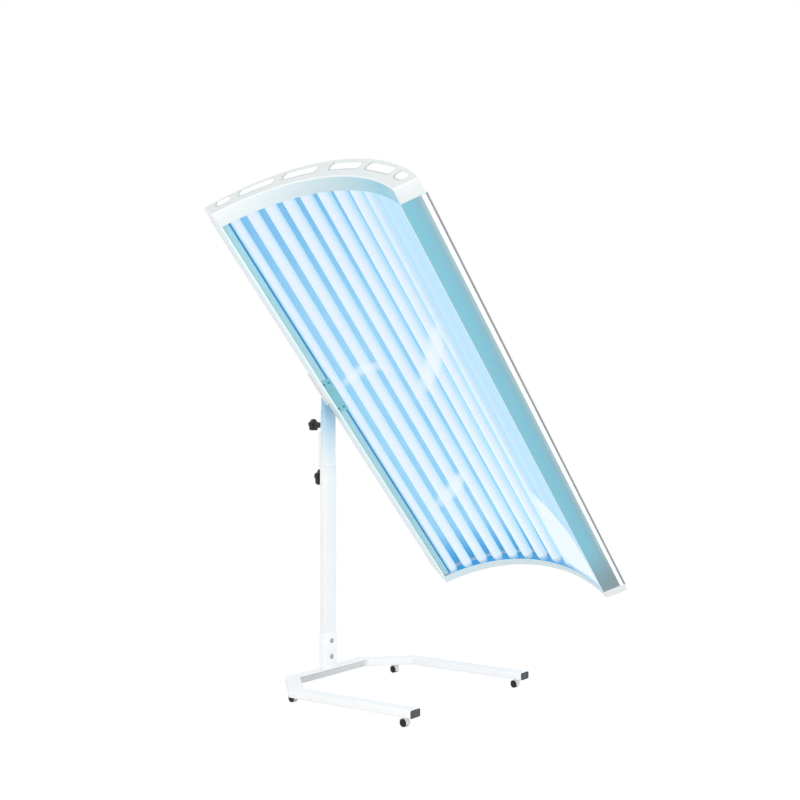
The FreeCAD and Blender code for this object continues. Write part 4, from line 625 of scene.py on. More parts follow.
def side_corner(radius, centre, inset):
    """Angle at which the side, moved in by the inset, crosses an arc about the given centre."""
    run = unit((-SIDE_RUN, -SIDE_DEPTH))
    start = np.array([TIP_HALF, TIP_D]) + inset * np.array([run[1], -run[0]]) - (0, centre)
    along = -start @ run
    foot = start + run * along
    reach = math.sqrt(radius ** 2 - foot @ foot)
    found = min((foot + run * reach, foot - run * reach), key=lambda p: abs(np.hypot(*p) - radius) + abs(
        p[1] + centre - (EDGE_D if centre == FRONT_Y else TIP_D)))
    return math.degrees(math.atan2(found[0], found[1]))


def side_steps(half, corner, middle):
    """Places along a side from -1 to 1: even in the middle, crowded where the rounded corner starts."""
    bend = (half - corner + corner * np.tan(np.radians([0, 12, 24, 35, 45]))) / half
    return np.concatenate([-bend[::-1], np.linspace(-bend[0], bend[0], middle + 2)[1:-1], bend])


LONG, SHORT, CORNER_TURN = 15, 3, math.degrees(WINDOW_CORNER / WINDOW_R)
CELL_FRONT, CELL_BACK = FRONT_R + CAP_ROUND, BACK_R - CAP_ROUND
rise_steps = side_steps(WINDOW_HALF, WINDOW_CORNER, SHORT)


def cell(index):
    """Border of one window's share of the plate: along the front arc, up one side, back along the rear arc, down."""
    ends = [side_corner(CELL_FRONT, FRONT_Y, CAP_ROUND), side_corner(CELL_BACK, BACK_Y, CAP_ROUND)]
    front = [-ends[0], *CELLS, ends[0]][index:index + 2]
    back = [-ends[1], *[on_back(a, CAP_ROUND) for a in CELLS], ends[1]][index:index + 2]
    share = (side_steps(WINDOWS[index][1], CORNER_TURN, LONG) + 1) / 2
    climb = ((rise_steps + 1) / 2)[:, None]
    low = polar(CELL_FRONT, front[0] + (front[1] - front[0]) * share)
    high = polar(CELL_BACK, back[0] + (back[1] - back[0]) * share, BACK_Y)
    right, left = low[-1] + (high[-1] - low[-1]) * climb, low[0] + (high[0] - low[0]) * climb
    return low, right, high, left


def window(index, grow=0.0):
    """The window's own edge, point for point against its cell's border: a rounded box in angle and radius."""
    middle, span = WINDOWS[index]
    half = np.radians(span) * WINDOW_R + grow
    tall, corner = WINDOW_HALF + grow, WINDOW_CORNER + grow
    wide = side_steps(span, CORNER_TURN, LONG) * half
    rise = rise_steps * tall
    box = np.concatenate([np.stack([wide, np.full_like(wide, -tall)], -1)[:-1],
                          np.stack([np.full_like(rise, half), rise], -1)[:-1],
                          np.stack([wide, np.full_like(wide, tall)], -1)[:0:-1],
                          np.stack([np.full_like(rise, -half), rise], -1)[:0:-1]])
    core = np.clip(box, [corner - half, corner - tall], [half - corner, tall - corner])
    box = core + corner * unit(box - core)
    return polar(WINDOW_R + box[:, 1], middle + np.degrees(box[:, 0] / WINDOW_R))


def ring_of(index):
    """A cell's border as one closed ring."""
    low, right, high, left = cell(index)
    return np.concatenate([low[:-1], right[:-1], high[:0:-1], left[:0:-1]])


def strip(rows):
    """Points and faces of an open band over closed rings, one ring per row."""
    points, faces = shell(rows)
    return points, faces[:-2]


def cap_shells(end, join):
    """Skins of one cap: the plate's windows, and the band over its rounded edge, down the wall and back inside."""
    way = 1.0 if end > join else -1.0
    under = end - way * CAP_PLATE
    skins = []
    for index in range(6):
        border, hole = ring_of(index), window(index, LIP)
        rows = [(border, end)] + [(border + (hole - border) * t, end) for t in (0.5, 0.8, 1.0)]
        rows += [(window(index, LIP * (1 - math.sin(a))), end - way * LIP * (1 - math.cos(a)))
                 for a in np.radians([30, 60, 90])]
        skins.append(strip(lofted(rows + [(window(index), under), (border, under)])))
    cells = [cell(index) for index in range(6)]
    front, back = (np.concatenate([borders[k][:-1] for borders in cells] + [cells[5][k][-1:]]) for k in (0, 2))
    sides, outs, base, normal = [front, cells[5][1], back[::-1], cells[0][3][::-1]], [], [], []
    for line, centre, sign in zip(sides, ((MID_X, FRONT_Y), None, (MID_X, BACK_Y), None), (-1, 0, 1, 0)):
        run = line[-1] - line[0]
        outs.append(unit((line - centre) * sign if centre else np.broadcast_to((run[1], -run[0]), line.shape)))
    for line, out, following in zip(sides, outs, outs[1:] + outs[:1]):
        a, b = (math.atan2(one[1], one[0]) for one in (out[-1], following[0]))
        fan = np.linspace(a, b + (2 * math.pi if b < a else 0.0), 8)[1:-1]
        base += [line, np.broadcast_to(line[-1], (6, 2))]
        normal += [out, compass(fan)]
    base, normal = np.concatenate(base), np.concatenate(normal)
    rows = [(CAP_ROUND * (1 - math.sin(a)), end - way * CAP_ROUND * (1 - math.cos(a)))
            for a in np.radians(np.linspace(0, 90, 7))]
    rows += [(0.0, join + way * 0.7), (0.25, join + way * 0.2), (0.8, join), (1.5, join), (CAP_WALL, join + way * 0.6),
             (CAP_WALL, under), (CAP_ROUND, under)]
    skins.append(strip(lofted([(base + (CAP_ROUND - inset) * normal, along) for inset, along in rows])))
    return skins


def faded(value, none, full):
    """Share of the way from one value to another, held between 0 and 1."""
    return np.clip((value - none) / (full - none), 0, 1)


def marked(tree, name):
    """Value that a piece's own points carry under that name."""
    return add(tree, "Attribute", attribute_name=name).outputs["Fac"]


def painted_cap_light_and_shade(tree, place, paint):
    """Painted lamp light on the caps' concave faces, deeper towards the free side; painted shade greys the plate and
    the free side's wall, and painted shadow the window rims' front edges and left ends.
    """
    deck_shade = repainted(tree, marked(tree, "deck_shade"), paint, CAP_PAINTED_SHADE)
    rims = repainted(tree, marked(tree, "sill_shadow"), deck_shade, CAP_PAINTED_SHADOW)
    return repainted(tree, marked(tree, "lamp_light_wash"), rims, CAP_PAINTED_LAMP_LIGHT)


# painted light and shade on the caps: lamp light on the walls, shade on the plate, shadow at the window rims
CAP_PAINTED_LAMP_LIGHT, CAP_PAINTED_SHADE, CAP_PAINTED_SHADOW = (0.28, 0.58, 0.69), (0.63, 0.67, 0.67), (0.36, 0.40, 0.40)
WINDOW_ROWS, RIM_FROM, RIM_TO, FOOT_WASH, WALL_SHADE = 9, 3, 6, 0.3, 0.65
WASH_ANGLES, WASH_SHARES = (-38, -25, -10, 0, 10, 20, 30, 38), (0.05, 0.12, 0.3, 0.42, 0.55, 0.75, 1.0, 0.85)
# the caps glow a little: painted light
cap_white = coating("cap_plastic", (0.79, 0.805, 0.805), (0.775, 0.79, 0.79), rough=(0.3, 0.4), grain=1400,
                    relief=0.02, tint=painted_cap_light_and_shade, glow=0.09)
for cap, end, join in (("head", HEAD_END, HEAD_JOIN), ("foot", FOOT_END, FOOT_JOIN)):
    skins = cap_shells(end, join)
    flat = np.vstack([points for points, _ in skins])
    out = flat[:, :2] - (MID_X, FRONT_Y)
    turn, far = np.degrees(np.arctan2(*out.T)), np.hypot(*out.T)
    # painted lamp light on the cap walls, by angle round the arc, weaker on the foot cap
    lamp_light_wash = np.interp(turn, WASH_ANGLES, WASH_SHARES) if cap == "head" else FOOT_WASH
    lamp_light_wash = lamp_light_wash * faded(far, FRONT_R + 2.4, FRONT_R + 0.4)
    sunk = np.abs(end - flat[:, 2])
    # painted shade on the plate's face and, lower down, on the free side's wall
    deck_shade = faded(sunk, 0.25, 0) * (far > CELL_FRONT - 0.01)
    free_side = (flat[:, :2] - (MID_X + EDGE_HALF, EDGE_D)) @ unit((SIDE_DEPTH, -SIDE_RUN))
    deck_shade = np.maximum(deck_shade, WALL_SHADE * faded(free_side, -2.2, -1.2) * faded(sunk, 1.5, 2.5))
    # painted shadow on each window's rim, at its front edge and its left end; lit below marks where that shadow lies
    sill_shadow, start = np.zeros(len(flat)), 0
    for (middle, span), (points, _) in zip(WINDOWS, skins):
        own = slice(start, start + len(points))
        rings = np.arange(len(points)) // (len(points) // WINDOW_ROWS)
        lit = faded(far[own], WINDOW_R + 2, WINDOW_R - 8) + faded(middle - turn[own], 0.8 * span, 0.95 * span)
        sill_shadow[own] = ((rings >= RIM_FROM) & (rings <= RIM_TO)) * np.clip(lit, 0.1, 1.0)
        start += len(points)
    piece(cap + "_cap", [(on_canopy(points), faces) for points, faces in skins], cap_white, "canopy",
          [cap + "_end_cap"], marks={"lamp_light_wash": lamp_light_wash, "deck_shade": deck_shade, "sill_shadow": sill_shadow})


# ---------------------------------------------------------------- vent grilles
# Behind every window a thin white moulded plate is clipped, with a row of narrow ribs.
# The warm air leaves between them.
GRILLE_THICK, GRILLE_SEAT, GRILLE_GROW, RIB_HALF, RIB_LONG, RIB_HIGH, RIB_PITCH = 1.6, 3.05, 1.4, 0.8, 10.5, 0.7, 0.98
# the vent plates glow a little: painted light that makes them brighter than the cap
vent_white = coating("vent_plastic", (0.9, 0.915, 0.915), (0.885, 0.9, 0.9), rough=(0.3, 0.42), grain=1400,
                     relief=0.06, glow=0.1)


def grille(index, outside, way):
    """One plate: its outline between two faces, and ribs about a degree apart across the outer face.

    A rib is a long bar of three rings: one sunk in the plate, one level with its face and a narrower one above it.
    """
    edge, (middle, span), bar = window(index, GRILLE_GROW), WINDOWS[index], rounded(RIB_HALF, RIB_LONG, 0.7, 2)(0.0)
    skins = [shell(lofted([(edge, outside), (edge, outside - way * GRILLE_THICK)]))]
    for turn in middle + np.arange(-span + 1.0, span - 0.9, RIB_PITCH):
        foot, top = (polar(WINDOW_R + bar[:, 1] * tall, turn + np.degrees(bar[:, 0] * wide / WINDOW_R))
                     for tall, wide in ((1.0, 1.0), (0.97, 0.55)))
        skins.append(shell(lofted([(foot, outside - way * 0.4), (foot, outside + way * 0.02),
                                   (top, outside + way * RIB_HIGH)])))
    return [(on_canopy(points), faces) for points, faces in skins]


vents = []
for end, way in ((HEAD_END, 1.0), (FOOT_END, -1.0)):
    for index in range(6):
        vents += grille(index, end - way * GRILLE_SEAT, way)
piece("vent_plates", vents, vent_white, "canopy", ["vent_grilles"])


# ---------------------------------------------------------------- side rails
# Each long side is an aluminium extrusion, anodised a pale blue-green: a closed box with
# a lip that the shield slides under, cut to length and bolted to the shell.
BODY_LOW, BODY_HIGH = -880.5, 865.5
LIP_ANGLE, SLOT_ANGLE, FLANGE_ANGLE, ROOT_ANGLE = 37.864, 38.514, 34.564, 36.904
LIP_THICK, FLANGE_DROP, RAIL_WALL, SHELL_ANGLE = 2.0, 8.6, 2.0, 38.216


def softened(corners, radius, steps=3):
    """Outline with every corner rounded: a quadratic curve from one side to the next, its size held to the sides."""
    corners = np.asarray(corners, float)
    before, after = np.roll(corners, 1, 0) - corners, np.roll(corners, -1, 0) - corners
    short = np.minimum(np.linalg.norm(before, axis=1), np.linalg.norm(after, axis=1))
    reach = np.minimum(np.broadcast_to(radius, len(corners)), short * 0.45)[:, None]
    start, stop = corners + unit(before) * reach, corners + unit(after) * reach
    t = np.linspace(0, 1, steps + 1)[None, :, None]
    return ((1 - t) ** 2 * start[:, None] + 2 * t * (1 - t) * corners[:, None] + t ** 2 * stop[:, None]).reshape(-1, 2)


def nearest_on(outline, points):
    """For every point the nearest place on a closed outline: its foot on each side, the closest kept."""
    start, run = outline, np.roll(outline, -1, 0) - outline
    share = ((points[:, None] - start[None]) * run[None]).sum(-1) / (run ** 2).sum(-1)[None]
    feet = start[None] + np.clip(share, 0, 1)[..., None] * run[None]
    away = np.linalg.norm(points[:, None] - feet, axis=-1)
    return feet[np.arange(len(points)), away.argmin(1)]


def shrunk(corners, wall):
    """Outline moved inwards by the wall: each side shifted along its own normal, neighbours crossed again."""
    corners = np.asarray(corners, float)
    run = unit(np.roll(corners, -1, 0) - corners)
    normal = np.stack([-run[:, 1], run[:, 0]], -1)
    back, back_normal = np.roll(run, 1, 0), np.roll(normal, 1, 0)
    base, base_back = corners + wall * normal, corners + wall * back_normal
    cross = back[:, 0] * run[:, 1] - back[:, 1] * run[:, 0]
    share = ((base - base_back)[:, 0] * run[:, 1] - (base - base_back)[:, 1] * run[:, 0]) / cross
    return base_back + share[:, None] * back


TIP, EDGE = (MID_X - TIP_HALF, TIP_D), (MID_X - EDGE_HALF, EDGE_D)
FLANGE_STEPS = (36.5, 36.35, 35.85, 35.7, 35.35, 35.25)
side_cut = [TIP, tuple(0.5 * (np.array(TIP) + EDGE)), EDGE, polar(FRONT_R, -LIP_ANGLE),
            polar(FRONT_R + LIP_THICK, -LIP_ANGLE), polar(FRONT_R + LIP_THICK, -SLOT_ANGLE),
            *[polar(FRONT_R + FLANGE_DROP, -a) for a in (SLOT_ANGLE, *FLANGE_STEPS, FLANGE_ANGLE)],
            polar(FRONT_R + FLANGE_DROP + RAIL_WALL, -FLANGE_ANGLE),
            polar(FRONT_R + FLANGE_DROP + RAIL_WALL, -ROOT_ANGLE), polar(BACK_R, -SHELL_ANGLE, BACK_Y)]
side_round = [1.6, 1.0, 2.2, 0.7, 0.7, 0.3, 0.3, *[0.02] * len(FLANGE_STEPS), 0.6, 0.6, 1.0, 0.8]
chamber = shrunk([side_cut[0], side_cut[2], side_cut[6], side_cut[-2], side_cut[-1]], RAIL_WALL)


def turned_over(outline, mirror):
    """Outline as it is with 1, and with -1 turned over about the canopy's middle."""
    return np.stack([MID_X + mirror * (outline[:, 0] - MID_X), outline[:, 1]], -1)


def colours_along(tree, value, stops):
    """Colour read off a scale: stops are pairs of place and colour."""
    ramp = add(tree, "ValToRGB", {0: value})
    scale = ramp.color_ramp.elements
    while len(scale) < len(stops):
        scale.new(0.5)
    for element, (place, colour) in zip(scale, stops):
        element.position, element.color = place, (*colour, 1)
    return ramp.outputs[0]


def distance_up(tree, place, low, high, stop=1.0):
    """Value from 0 to stop between two places along the lamps, smoothed at both ends."""
    lift = add(tree, "VectorMath", {0: place, 1: (0.0, -math.cos(TILT), math.sin(TILT))}, operation="DOT_PRODUCT")
    shift = (PIVOT_U - PIVOT_Z * math.sin(TILT)) * MM
    moved = both_of(tree, "ADD", lift.outputs["Value"], shift)
    return mapped(tree, moved, low * MM, high * MM, stop=stop, smooth=True)


RAIL_FACE = [(0.0, (0.20, 0.52, 0.63)), (0.42, (0.19, 0.48, 0.61)), (0.6, (0.23, 0.43, 0.51)),
             (0.72, (0.36, 0.5, 0.53)), (1.0, (0.5, 0.56, 0.58))]
RAIL_FOOT_GREY = (0.22, 0.29, 0.31)
RAIL_LIP_HIGHLIGHT, RAIL_MINT, RAIL_LAMP_CYAN, RAIL_LAMP_BLUE, RAIL_SHADOW_LINE = ((0.84, 0.95, 0.96), (0.43, 0.68, 0.72), (0.45, 0.78, 0.95),
                                                        (0.3, 0.68, 0.91), (0.03, 0.2, 0.42))
# painted bands on the flange: blue and cyan lamp light and a dark painted shadow line
FLANGE_PAINTED_BANDS = [(0.0, RAIL_MINT), (0.54, RAIL_MINT), (0.58, RAIL_LAMP_BLUE), (0.66, RAIL_LAMP_BLUE), (0.7, RAIL_SHADOW_LINE),
                (0.84, RAIL_SHADOW_LINE), (0.87, RAIL_LAMP_CYAN), (1.0, RAIL_LAMP_CYAN)]


def rail_colour_and_painted_light(tree, place, paint):
    """Colour read from the front edge to the tip, greyer towards the foot.

    The lip and the post side's outer face carry a nearly white painted highlight, and the flange under the shield shows
    painted bands of the lamps' light with a painted shadow line.
    """
    face = repainted(tree, 0.12, colours_along(tree, marked(tree, "reach"), RAIL_FACE), paint)
    # greyer towards the foot
    greyed_at_foot = repainted(tree, distance_up(tree, place, -640.0, -860.0, 0.85), face, RAIL_FOOT_GREY)
    bands = colours_along(tree, marked(tree, "span"), FLANGE_PAINTED_BANDS)
    inner = repainted(tree, marked(tree, "lip"), bands, RAIL_LIP_HIGHLIGHT)
    return repainted(tree, marked(tree, "pale_highlight"), greyed_at_foot, inner)


# the rail's glow is painted lamp light
rail_aluminium = coating("anodised_rail", (0.3, 0.56, 0.64), (0.24, 0.48, 0.57), rough=(0.3, 0.38), metal=0.25,
                         patch=5, grain=600, stretch=(18, 1, 1), relief=0.03, tint=rail_colour_and_painted_light, glow=0.22, dark=0.78)
ring = softened(side_cut, side_round)
way, from_axis = np.array(TIP, float) - EDGE, ring - (MID_X, FRONT_Y)
turn, far = -np.degrees(np.arctan2(*from_axis.T)), np.hypot(*from_axis.T)
reach = np.clip((ring - EDGE) @ way / (way @ way), 0, 1)
off_face = np.abs((ring - EDGE) @ np.array([way[1], -way[0]])) / np.linalg.norm(way)
on_side = off_face < 1.0
# pale_highlight: a painted highlight along the front edge and, on the post side, over the outer face
pale_highlight = np.maximum(faded(off_face, 0, 1.2) * faded(reach, 0.35, 0.3), faded(reach, 0.012, 0.011 / 3))
span = faded(turn, SLOT_ANGLE, FLANGE_ANGLE)
lip = faded(far, FRONT_R + FLANGE_DROP - 1, FRONT_R + FLANGE_DROP - 3)
core_ring = nearest_on(chamber, ring)
for side, mirror in (("post", 1), ("free", -1)):
    rows = lofted([(turned_over(outline, mirror), along) for outline, along in (
        (ring, BODY_LOW), (ring, BODY_HIGH), (core_ring, BODY_HIGH), (core_ring, BODY_LOW))])
    shown = np.where(on_side, 0.7, pale_highlight) if side == "post" else pale_highlight
    marks = {"reach": reach, "pale_highlight": shown, "span": span, "lip": np.where(on_side, 1.0, lip)}
    piece("rail_" + side, [shell(on_canopy(rows), loop=True)], rail_aluminium, "canopy",
          ["rail_" + side + "_side"], crease=40, marks={mark: np.tile(values, 4) for mark, values in marks.items()})


# ---------------------------------------------------------------- edge trims
# A glossy white plastic strip is pressed along the rear of each rail's outer face; a thin
# grey strip in the groove behind it is painted shade.
# the trim strips glow a little: painted light
trim_white = coating("trim_plastic", (0.9, 0.91, 0.915), (0.88, 0.89, 0.895), rough=(0.16, 0.26), coat=0.3,
                     grain=1500, relief=0.03, glow=0.06)
groove_shade_grey = coating("painted_groove_shade", (0.25, 0.255, 0.26), (0.3, 0.305, 0.31), rough=(0.4, 0.55), grain=1500, relief=0.15)
TRIM_SECTION = [(7.3, 0.04), (7.3, 1.3), (8.2, 1.75), (10.0, 1.8), (18.2, 1.8), (19.8, 1.6), (20.5, 0.9), (20.5, 0.04)]
GROOVE_SHADE_SECTION = [(1.6, 0.04), (1.6, 0.9), (2.6, 1.5), (4.0, 1.7), (5.4, 1.5), (6.6, 0.9), (7.1, 0.5), (7.1, 0.04)]


def side_point(reach, rise, mirror):
    """Point by its reach from the tip along the outer face and its rise off it, on either side."""
    down = unit((SIDE_RUN, -SIDE_DEPTH))
    return turned_over(np.array(TIP) + np.outer(reach, down) + np.outer(rise, (down[1], -down[0])), mirror)


def strips_on(profile):
    """Skins of both sides' strips of that profile, a little shorter than the rails."""
    reach, rise = softened(profile, 0.35, 2).T
    return [shell(on_canopy(lofted([(side_point(reach, rise, mirror), along)
                                    for along in (BODY_LOW + 0.5, BODY_HIGH - 0.5)]))) for mirror in (1, -1)]


piece("edge_trim_strips", strips_on(TRIM_SECTION), trim_white, "canopy", ["edge_trims"])
# grey strips in the groove behind each trim: painted shade
piece("groove_shade_strips", strips_on(GROOVE_SHADE_SECTION), groove_shade_grey, "canopy")


# ---------------------------------------------------------------- back shell
# The back is one sheet of painted aluminium bent to a shallow arc, stiffened by long
# pressed beads and held to the rails by rows of small screws.
SHELL_THICK, SHELL_HALF, SWAGE, SWAGE_HALF, SCREW_TURN, SCREWS = 1.4, 38.156, 0.5, 0.42, 37.2, 9
shell_white = coating("shell_paint", (0.86, 0.865, 0.875), (0.83, 0.835, 0.85), rough=(0.3, 0.42), grain=1100,
                      relief=0.07)
angles = np.linspace(-SHELL_HALF, SHELL_HALF, 153)
lift = sum(np.exp(-((angles - at) / SWAGE_HALF) ** 2) for at in (-27.0, -9.0, 9.0, 27.0))
along_steps = np.concatenate([[BODY_LOW, -852.0, -846.0, -838.0, -828.0], np.linspace(-800, 790, 13),
                              [813.0, 823.0, 831.0, 837.0, BODY_HIGH]])


def beaded(swell):
    """Outline of the sheet where its beads have risen by that share: out along its outer face, back along the inner."""
    outer = BACK_R - 0.02 - SWAGE * (1 - lift * swell)
    return polar(np.concatenate([outer, outer[::-1] - SHELL_THICK]), np.concatenate([angles, angles[::-1]]), BACK_Y)


swells = np.interp(along_steps, [-846, -828, 813, 831], [0, 1, 1, 0])
rows = lofted([(beaded(swell), along) for swell, along in zip(swells, along_steps)])
piece("back_sheet", [shell(on_canopy(rows))], shell_white, "canopy", ["back_shell"], crease=50)

screw = [(0.4, -1.0), (1.0, -1.0), (3.6, 0.0), (3.6, 0.5), (3.1, 1.0), (2.0, 1.35), (1.5, 1.4), (1.3, 0.9), (0.3, 0.9)]


def outwards(points, radius, degrees, along):
    """Points drawn on a height axis, set at an angle about the back arc's centre so that height runs outwards."""
    way = (math.sin(math.radians(degrees)), math.cos(math.radians(degrees)), 0)
    return on_canopy(aimed(points, (*polar(radius, degrees, BACK_Y), along), way))


screws = [shell(outwards(turned(screw, 20), BACK_R - SWAGE, degrees, along))
          for degrees in (-SCREW_TURN, SCREW_TURN) for along in np.linspace(-800, 790, SCREWS)]
piece("shell_screws", screws, bolt_steel, "canopy")


# ------------------------------------------------------------------ reflector
# Behind the lamps lies a bent sheet of bright-rolled aluminium that throws their blue
# light forward; its blue and glow are painted lamp light, with painted shade deeper towards the foot.
REFLECTOR_R, REFLECTOR_THICK, REFLECTOR_HALF = 616.215, 1.0, 36.0
REFLECTOR_LOW, REFLECTOR_HIGH = -892.5, 877.5
REFLECTOR_LAMP_BLUE, REFLECTOR_DEEP_SHADE, SHEET_STEPS = (0.44, 0.76, 0.99), (0.05, 0.4, 0.8), 121


def bent(radius, thick, half, levels):
    """Skin of a bent sheet: out along one arc, back along a second one, carried through the levels."""
    turns = np.linspace(-half, half, SHEET_STEPS)
    edge = np.concatenate([polar(radius, turns), polar(radius + thick, turns[::-1])])
    return shell(on_canopy(lofted([(edge, along) for along in levels])))


def reflector_painted_lamp_light(tree, place, paint):
    """Painted blue lamp light on bright metal, with painted shade a little deeper at the head and much deeper near the
    foot.
    """
    head, foot = distance_up(tree, place, 300.0, 860.0, 0.4), distance_up(tree, place, -660.0, -885.0)
    return repainted(tree, foot, repainted(tree, head, paint, REFLECTOR_DEEP_SHADE), REFLECTOR_DEEP_SHADE)


# the sheet's blue and glow are painted lamp light
reflector_bright = coating("reflector_sheet", REFLECTOR_LAMP_BLUE, (0.36, 0.7, 0.97), rough=(0.28, 0.4), metal=0.8,
                           patch=3, grain=500, relief=0.03, tint=reflector_painted_lamp_light, glow=0.6, dark=0.35)
piece("reflector_sheet", [bent(REFLECTOR_R, REFLECTOR_THICK, REFLECTOR_HALF, (REFLECTOR_LOW, REFLECTOR_HIGH))],
      reflector_bright, "canopy", ["reflector"])


# ---------------------------------------------------------------- lamp panels
# A curved aluminium plate closes the lamp room at each end and carries the holders.
# The lamps' strong blue light on it is painted into its colour and glow.
# the panels' deep blue and glow are painted lamp light
bulkhead_painted_light = coating("panel_painted_lamp_light", (0.01, 0.34, 0.70), (0.01, 0.31, 0.66), rough=(0.35, 0.45), grain=1100,
                        relief=0.06, glow=0.75, dark=0.3)
PANEL_R, PANEL_DEEP, PANEL_THICK = 567.0, 49.0, 2.0
panels = [bent(PANEL_R, PANEL_DEEP, REFLECTOR_HALF, (low, low + PANEL_THICK)) for low in (894.65, -911.65)]
piece("lamp_end_panels", panels, bulkhead_painted_light, "canopy", ["lamp_bulkheads"])


# ---------------------------------------------------------------------- lamps
# Twelve fluorescent tanning tubes, 38 mm across: phosphor-coated glass with an aluminium
# cap and two pins at each end, pushed into white moulded holders.
LAMP_R, LAMP_WALL, LAMP_CIRCLE, LAMP_PITCH, LAMP_COUNT = 19.0, 0.8, 592.015, 6.25, 12
GLASS_LOW, GLASS_HIGH, PIN_APART = -880.5, 865.5, 6.35
LAMP_FACE, LAMP_SIDE = (0.92, 0.98, 1.1), (0.52, 0.84, 1.04)


def lit_glass(tree, place, paint):
    """Light of the phosphor: palest along the line that faces the shield, bluer round the sides."""
    return repainted(tree, marked(tree, "facing"), paint, LAMP_FACE)


lamp_glass = coating("phosphor_glass", LAMP_SIDE, (0.52, 0.84, 1.02), rough=(0.22, 0.3), patch=2.5, grain=500,
                     relief=0.02, tint=lit_glass, glow=0.86, dark=0.03)
# the lamp caps and the white holders are coloured and glow with painted blue lamp light
lamp_end_cap_painted_light = coating("lamp_cap_metal_painted_light", (0.74, 0.9, 1.0), (0.68, 0.87, 0.98), rough=(0.25, 0.35), metal=0.3,
                     grain=900, relief=0.04, glow=0.6, dark=0.25)
holder_painted_light = coating("holder_plastic_painted_light", (0.3, 0.62, 0.93), (0.26, 0.57, 0.89), rough=(0.4, 0.5), grain=1400,
                       relief=0.08, glow=0.6, dark=0.4)
turn = full_turn(48)
tube_rows = [(LAMP_R - 0.3, GLASS_LOW), (LAMP_R, GLASS_LOW + 0.5), (LAMP_R, GLASS_HIGH - 0.5),
             (LAMP_R - 0.3, GLASS_HIGH), (LAMP_R - LAMP_WALL, GLASS_HIGH), (LAMP_R - LAMP_WALL, GLASS_LOW)]
cap = turned([(18.2, 0.05), (19.0, 0.5), (19.0, 9.0), (18.3, 12.4), (16.6, 14.6), (14.2, 15.7), (12.0, 15.95),
              (4.0, 15.95)], 40)
pin = turned([(1.2, 15.0), (1.2, 22.4), (0.7, 23.0)], 10)
holder = turned([(14.2, 16.1), (15.0, 16.7), (15.0, 28.3), (14.4, 29.0)], 32)
tubes, caps, holders = [], [], []
for number in range(LAMP_COUNT):
    degrees = (number - (LAMP_COUNT - 1) / 2) * LAMP_PITCH
    centre, rim = polar(LAMP_CIRCLE, degrees), compass(turn + math.radians(degrees))[:, ::-1]
    tubes.append(shell(on_canopy(lofted([(centre + rim * radius, along) for radius, along in tube_rows])), loop=True))
    for start, way in ((GLASS_HIGH, 1.0), (GLASS_LOW, -1.0)):
        for pile, part, side in ((caps, cap, 0), (caps, pin, -1), (caps, pin, 1), (holders, holder, 0)):
            at = (centre[0] + side * PIN_APART, centre[1], start)
            pile.append(shell(on_canopy(aimed(part, at, (0, 0, way)))))
facing = np.tile(np.clip(-np.cos(turn), 0, 1) ** 0.8, len(tube_rows) * LAMP_COUNT)
piece("lamp_tubes_lit", tubes, lamp_glass, "canopy", ["lamp_tubes"], marks={"facing": facing})
piece("lamp_cap_shells", caps, lamp_end_cap_painted_light, "canopy", ["lamp_caps"])
piece("lamp_holder_blocks", holders, holder_painted_light, "canopy", ["lamp_holders"])


# --------------------------------------------------------------------- shield
# A clear acrylic sheet, 4 mm thick, bent to the front arc and slid under the rails' lips
# and into both caps. A painted haze of lamp light lies on its free side, and painted reflections lie on it in soft pale
# strokes.
SHIELD_R, SHIELD_THICK, SHIELD_HALF, SHIELD_LOW, SHIELD_HIGH = 558.815, 4.0, 38.414, -888.5, 873.5
SHIELD_TINT, SHIELD_GLOSS, SHIELD_INDEX = (0.97, 0.99, 1.0), (0.86, 0.97, 1.0), 1.49
PAINTED_HAZE_COLOUR, PAINTED_STROKE_COLOUR = (0.5, 0.79, 1.0), (0.88, 0.97, 1.0)
HAZE_SHARE = ((-38, 0.0), (14, 0.0), (20, 0.3), (26, 0.72), (39, 0.8))
STROKES = [(((19.0, 355.0), (14.6, 290.0), (10.0, 218.0), (3.2, 131.0), (-3.2, 53.0), (-11.2, -18.0)),
            (2.0, 26.0, 34.0, 30.0, 26.0, 3.0), (0.4, 0.68, 0.8, 0.78, 0.55, 0.0)),
           (((-35.0, 128.0), (-29.0, 150.0), (-23.0, 172.0), (-17.0, 170.0), (-10.0, 128.0)),
            (6.0, 16.0, 20.0, 18.0, 4.0), (0.0, 0.5, 0.6, 0.5, 0.0)),
           (((-7.4, -372.0), (-10.8, -411.0), (-14.4, -453.0), (-20.0, -494.0), (-24.9, -521.0), (-30.6, -535.0)),
            (3.0, 20.0, 28.0, 26.0, 18.0, 4.0), (0.35, 0.66, 0.7, 0.58, 0.36, 0.0))]
WEDGE_RUN, WEDGE_SOFT, WEDGE_SHARE = (-440.0, -500.0, -560.0, -606.0, -700.0, -800.0, -864.0), 1.2, 0.97
WEDGE_FROM, WEDGE_TO = (18.9, 18.7, 18.4, 18.1, 17.6, 17.9, 21.0), (20.5, 25.5, 30.5, 33.5, 36.3, 37.3, 37.0)


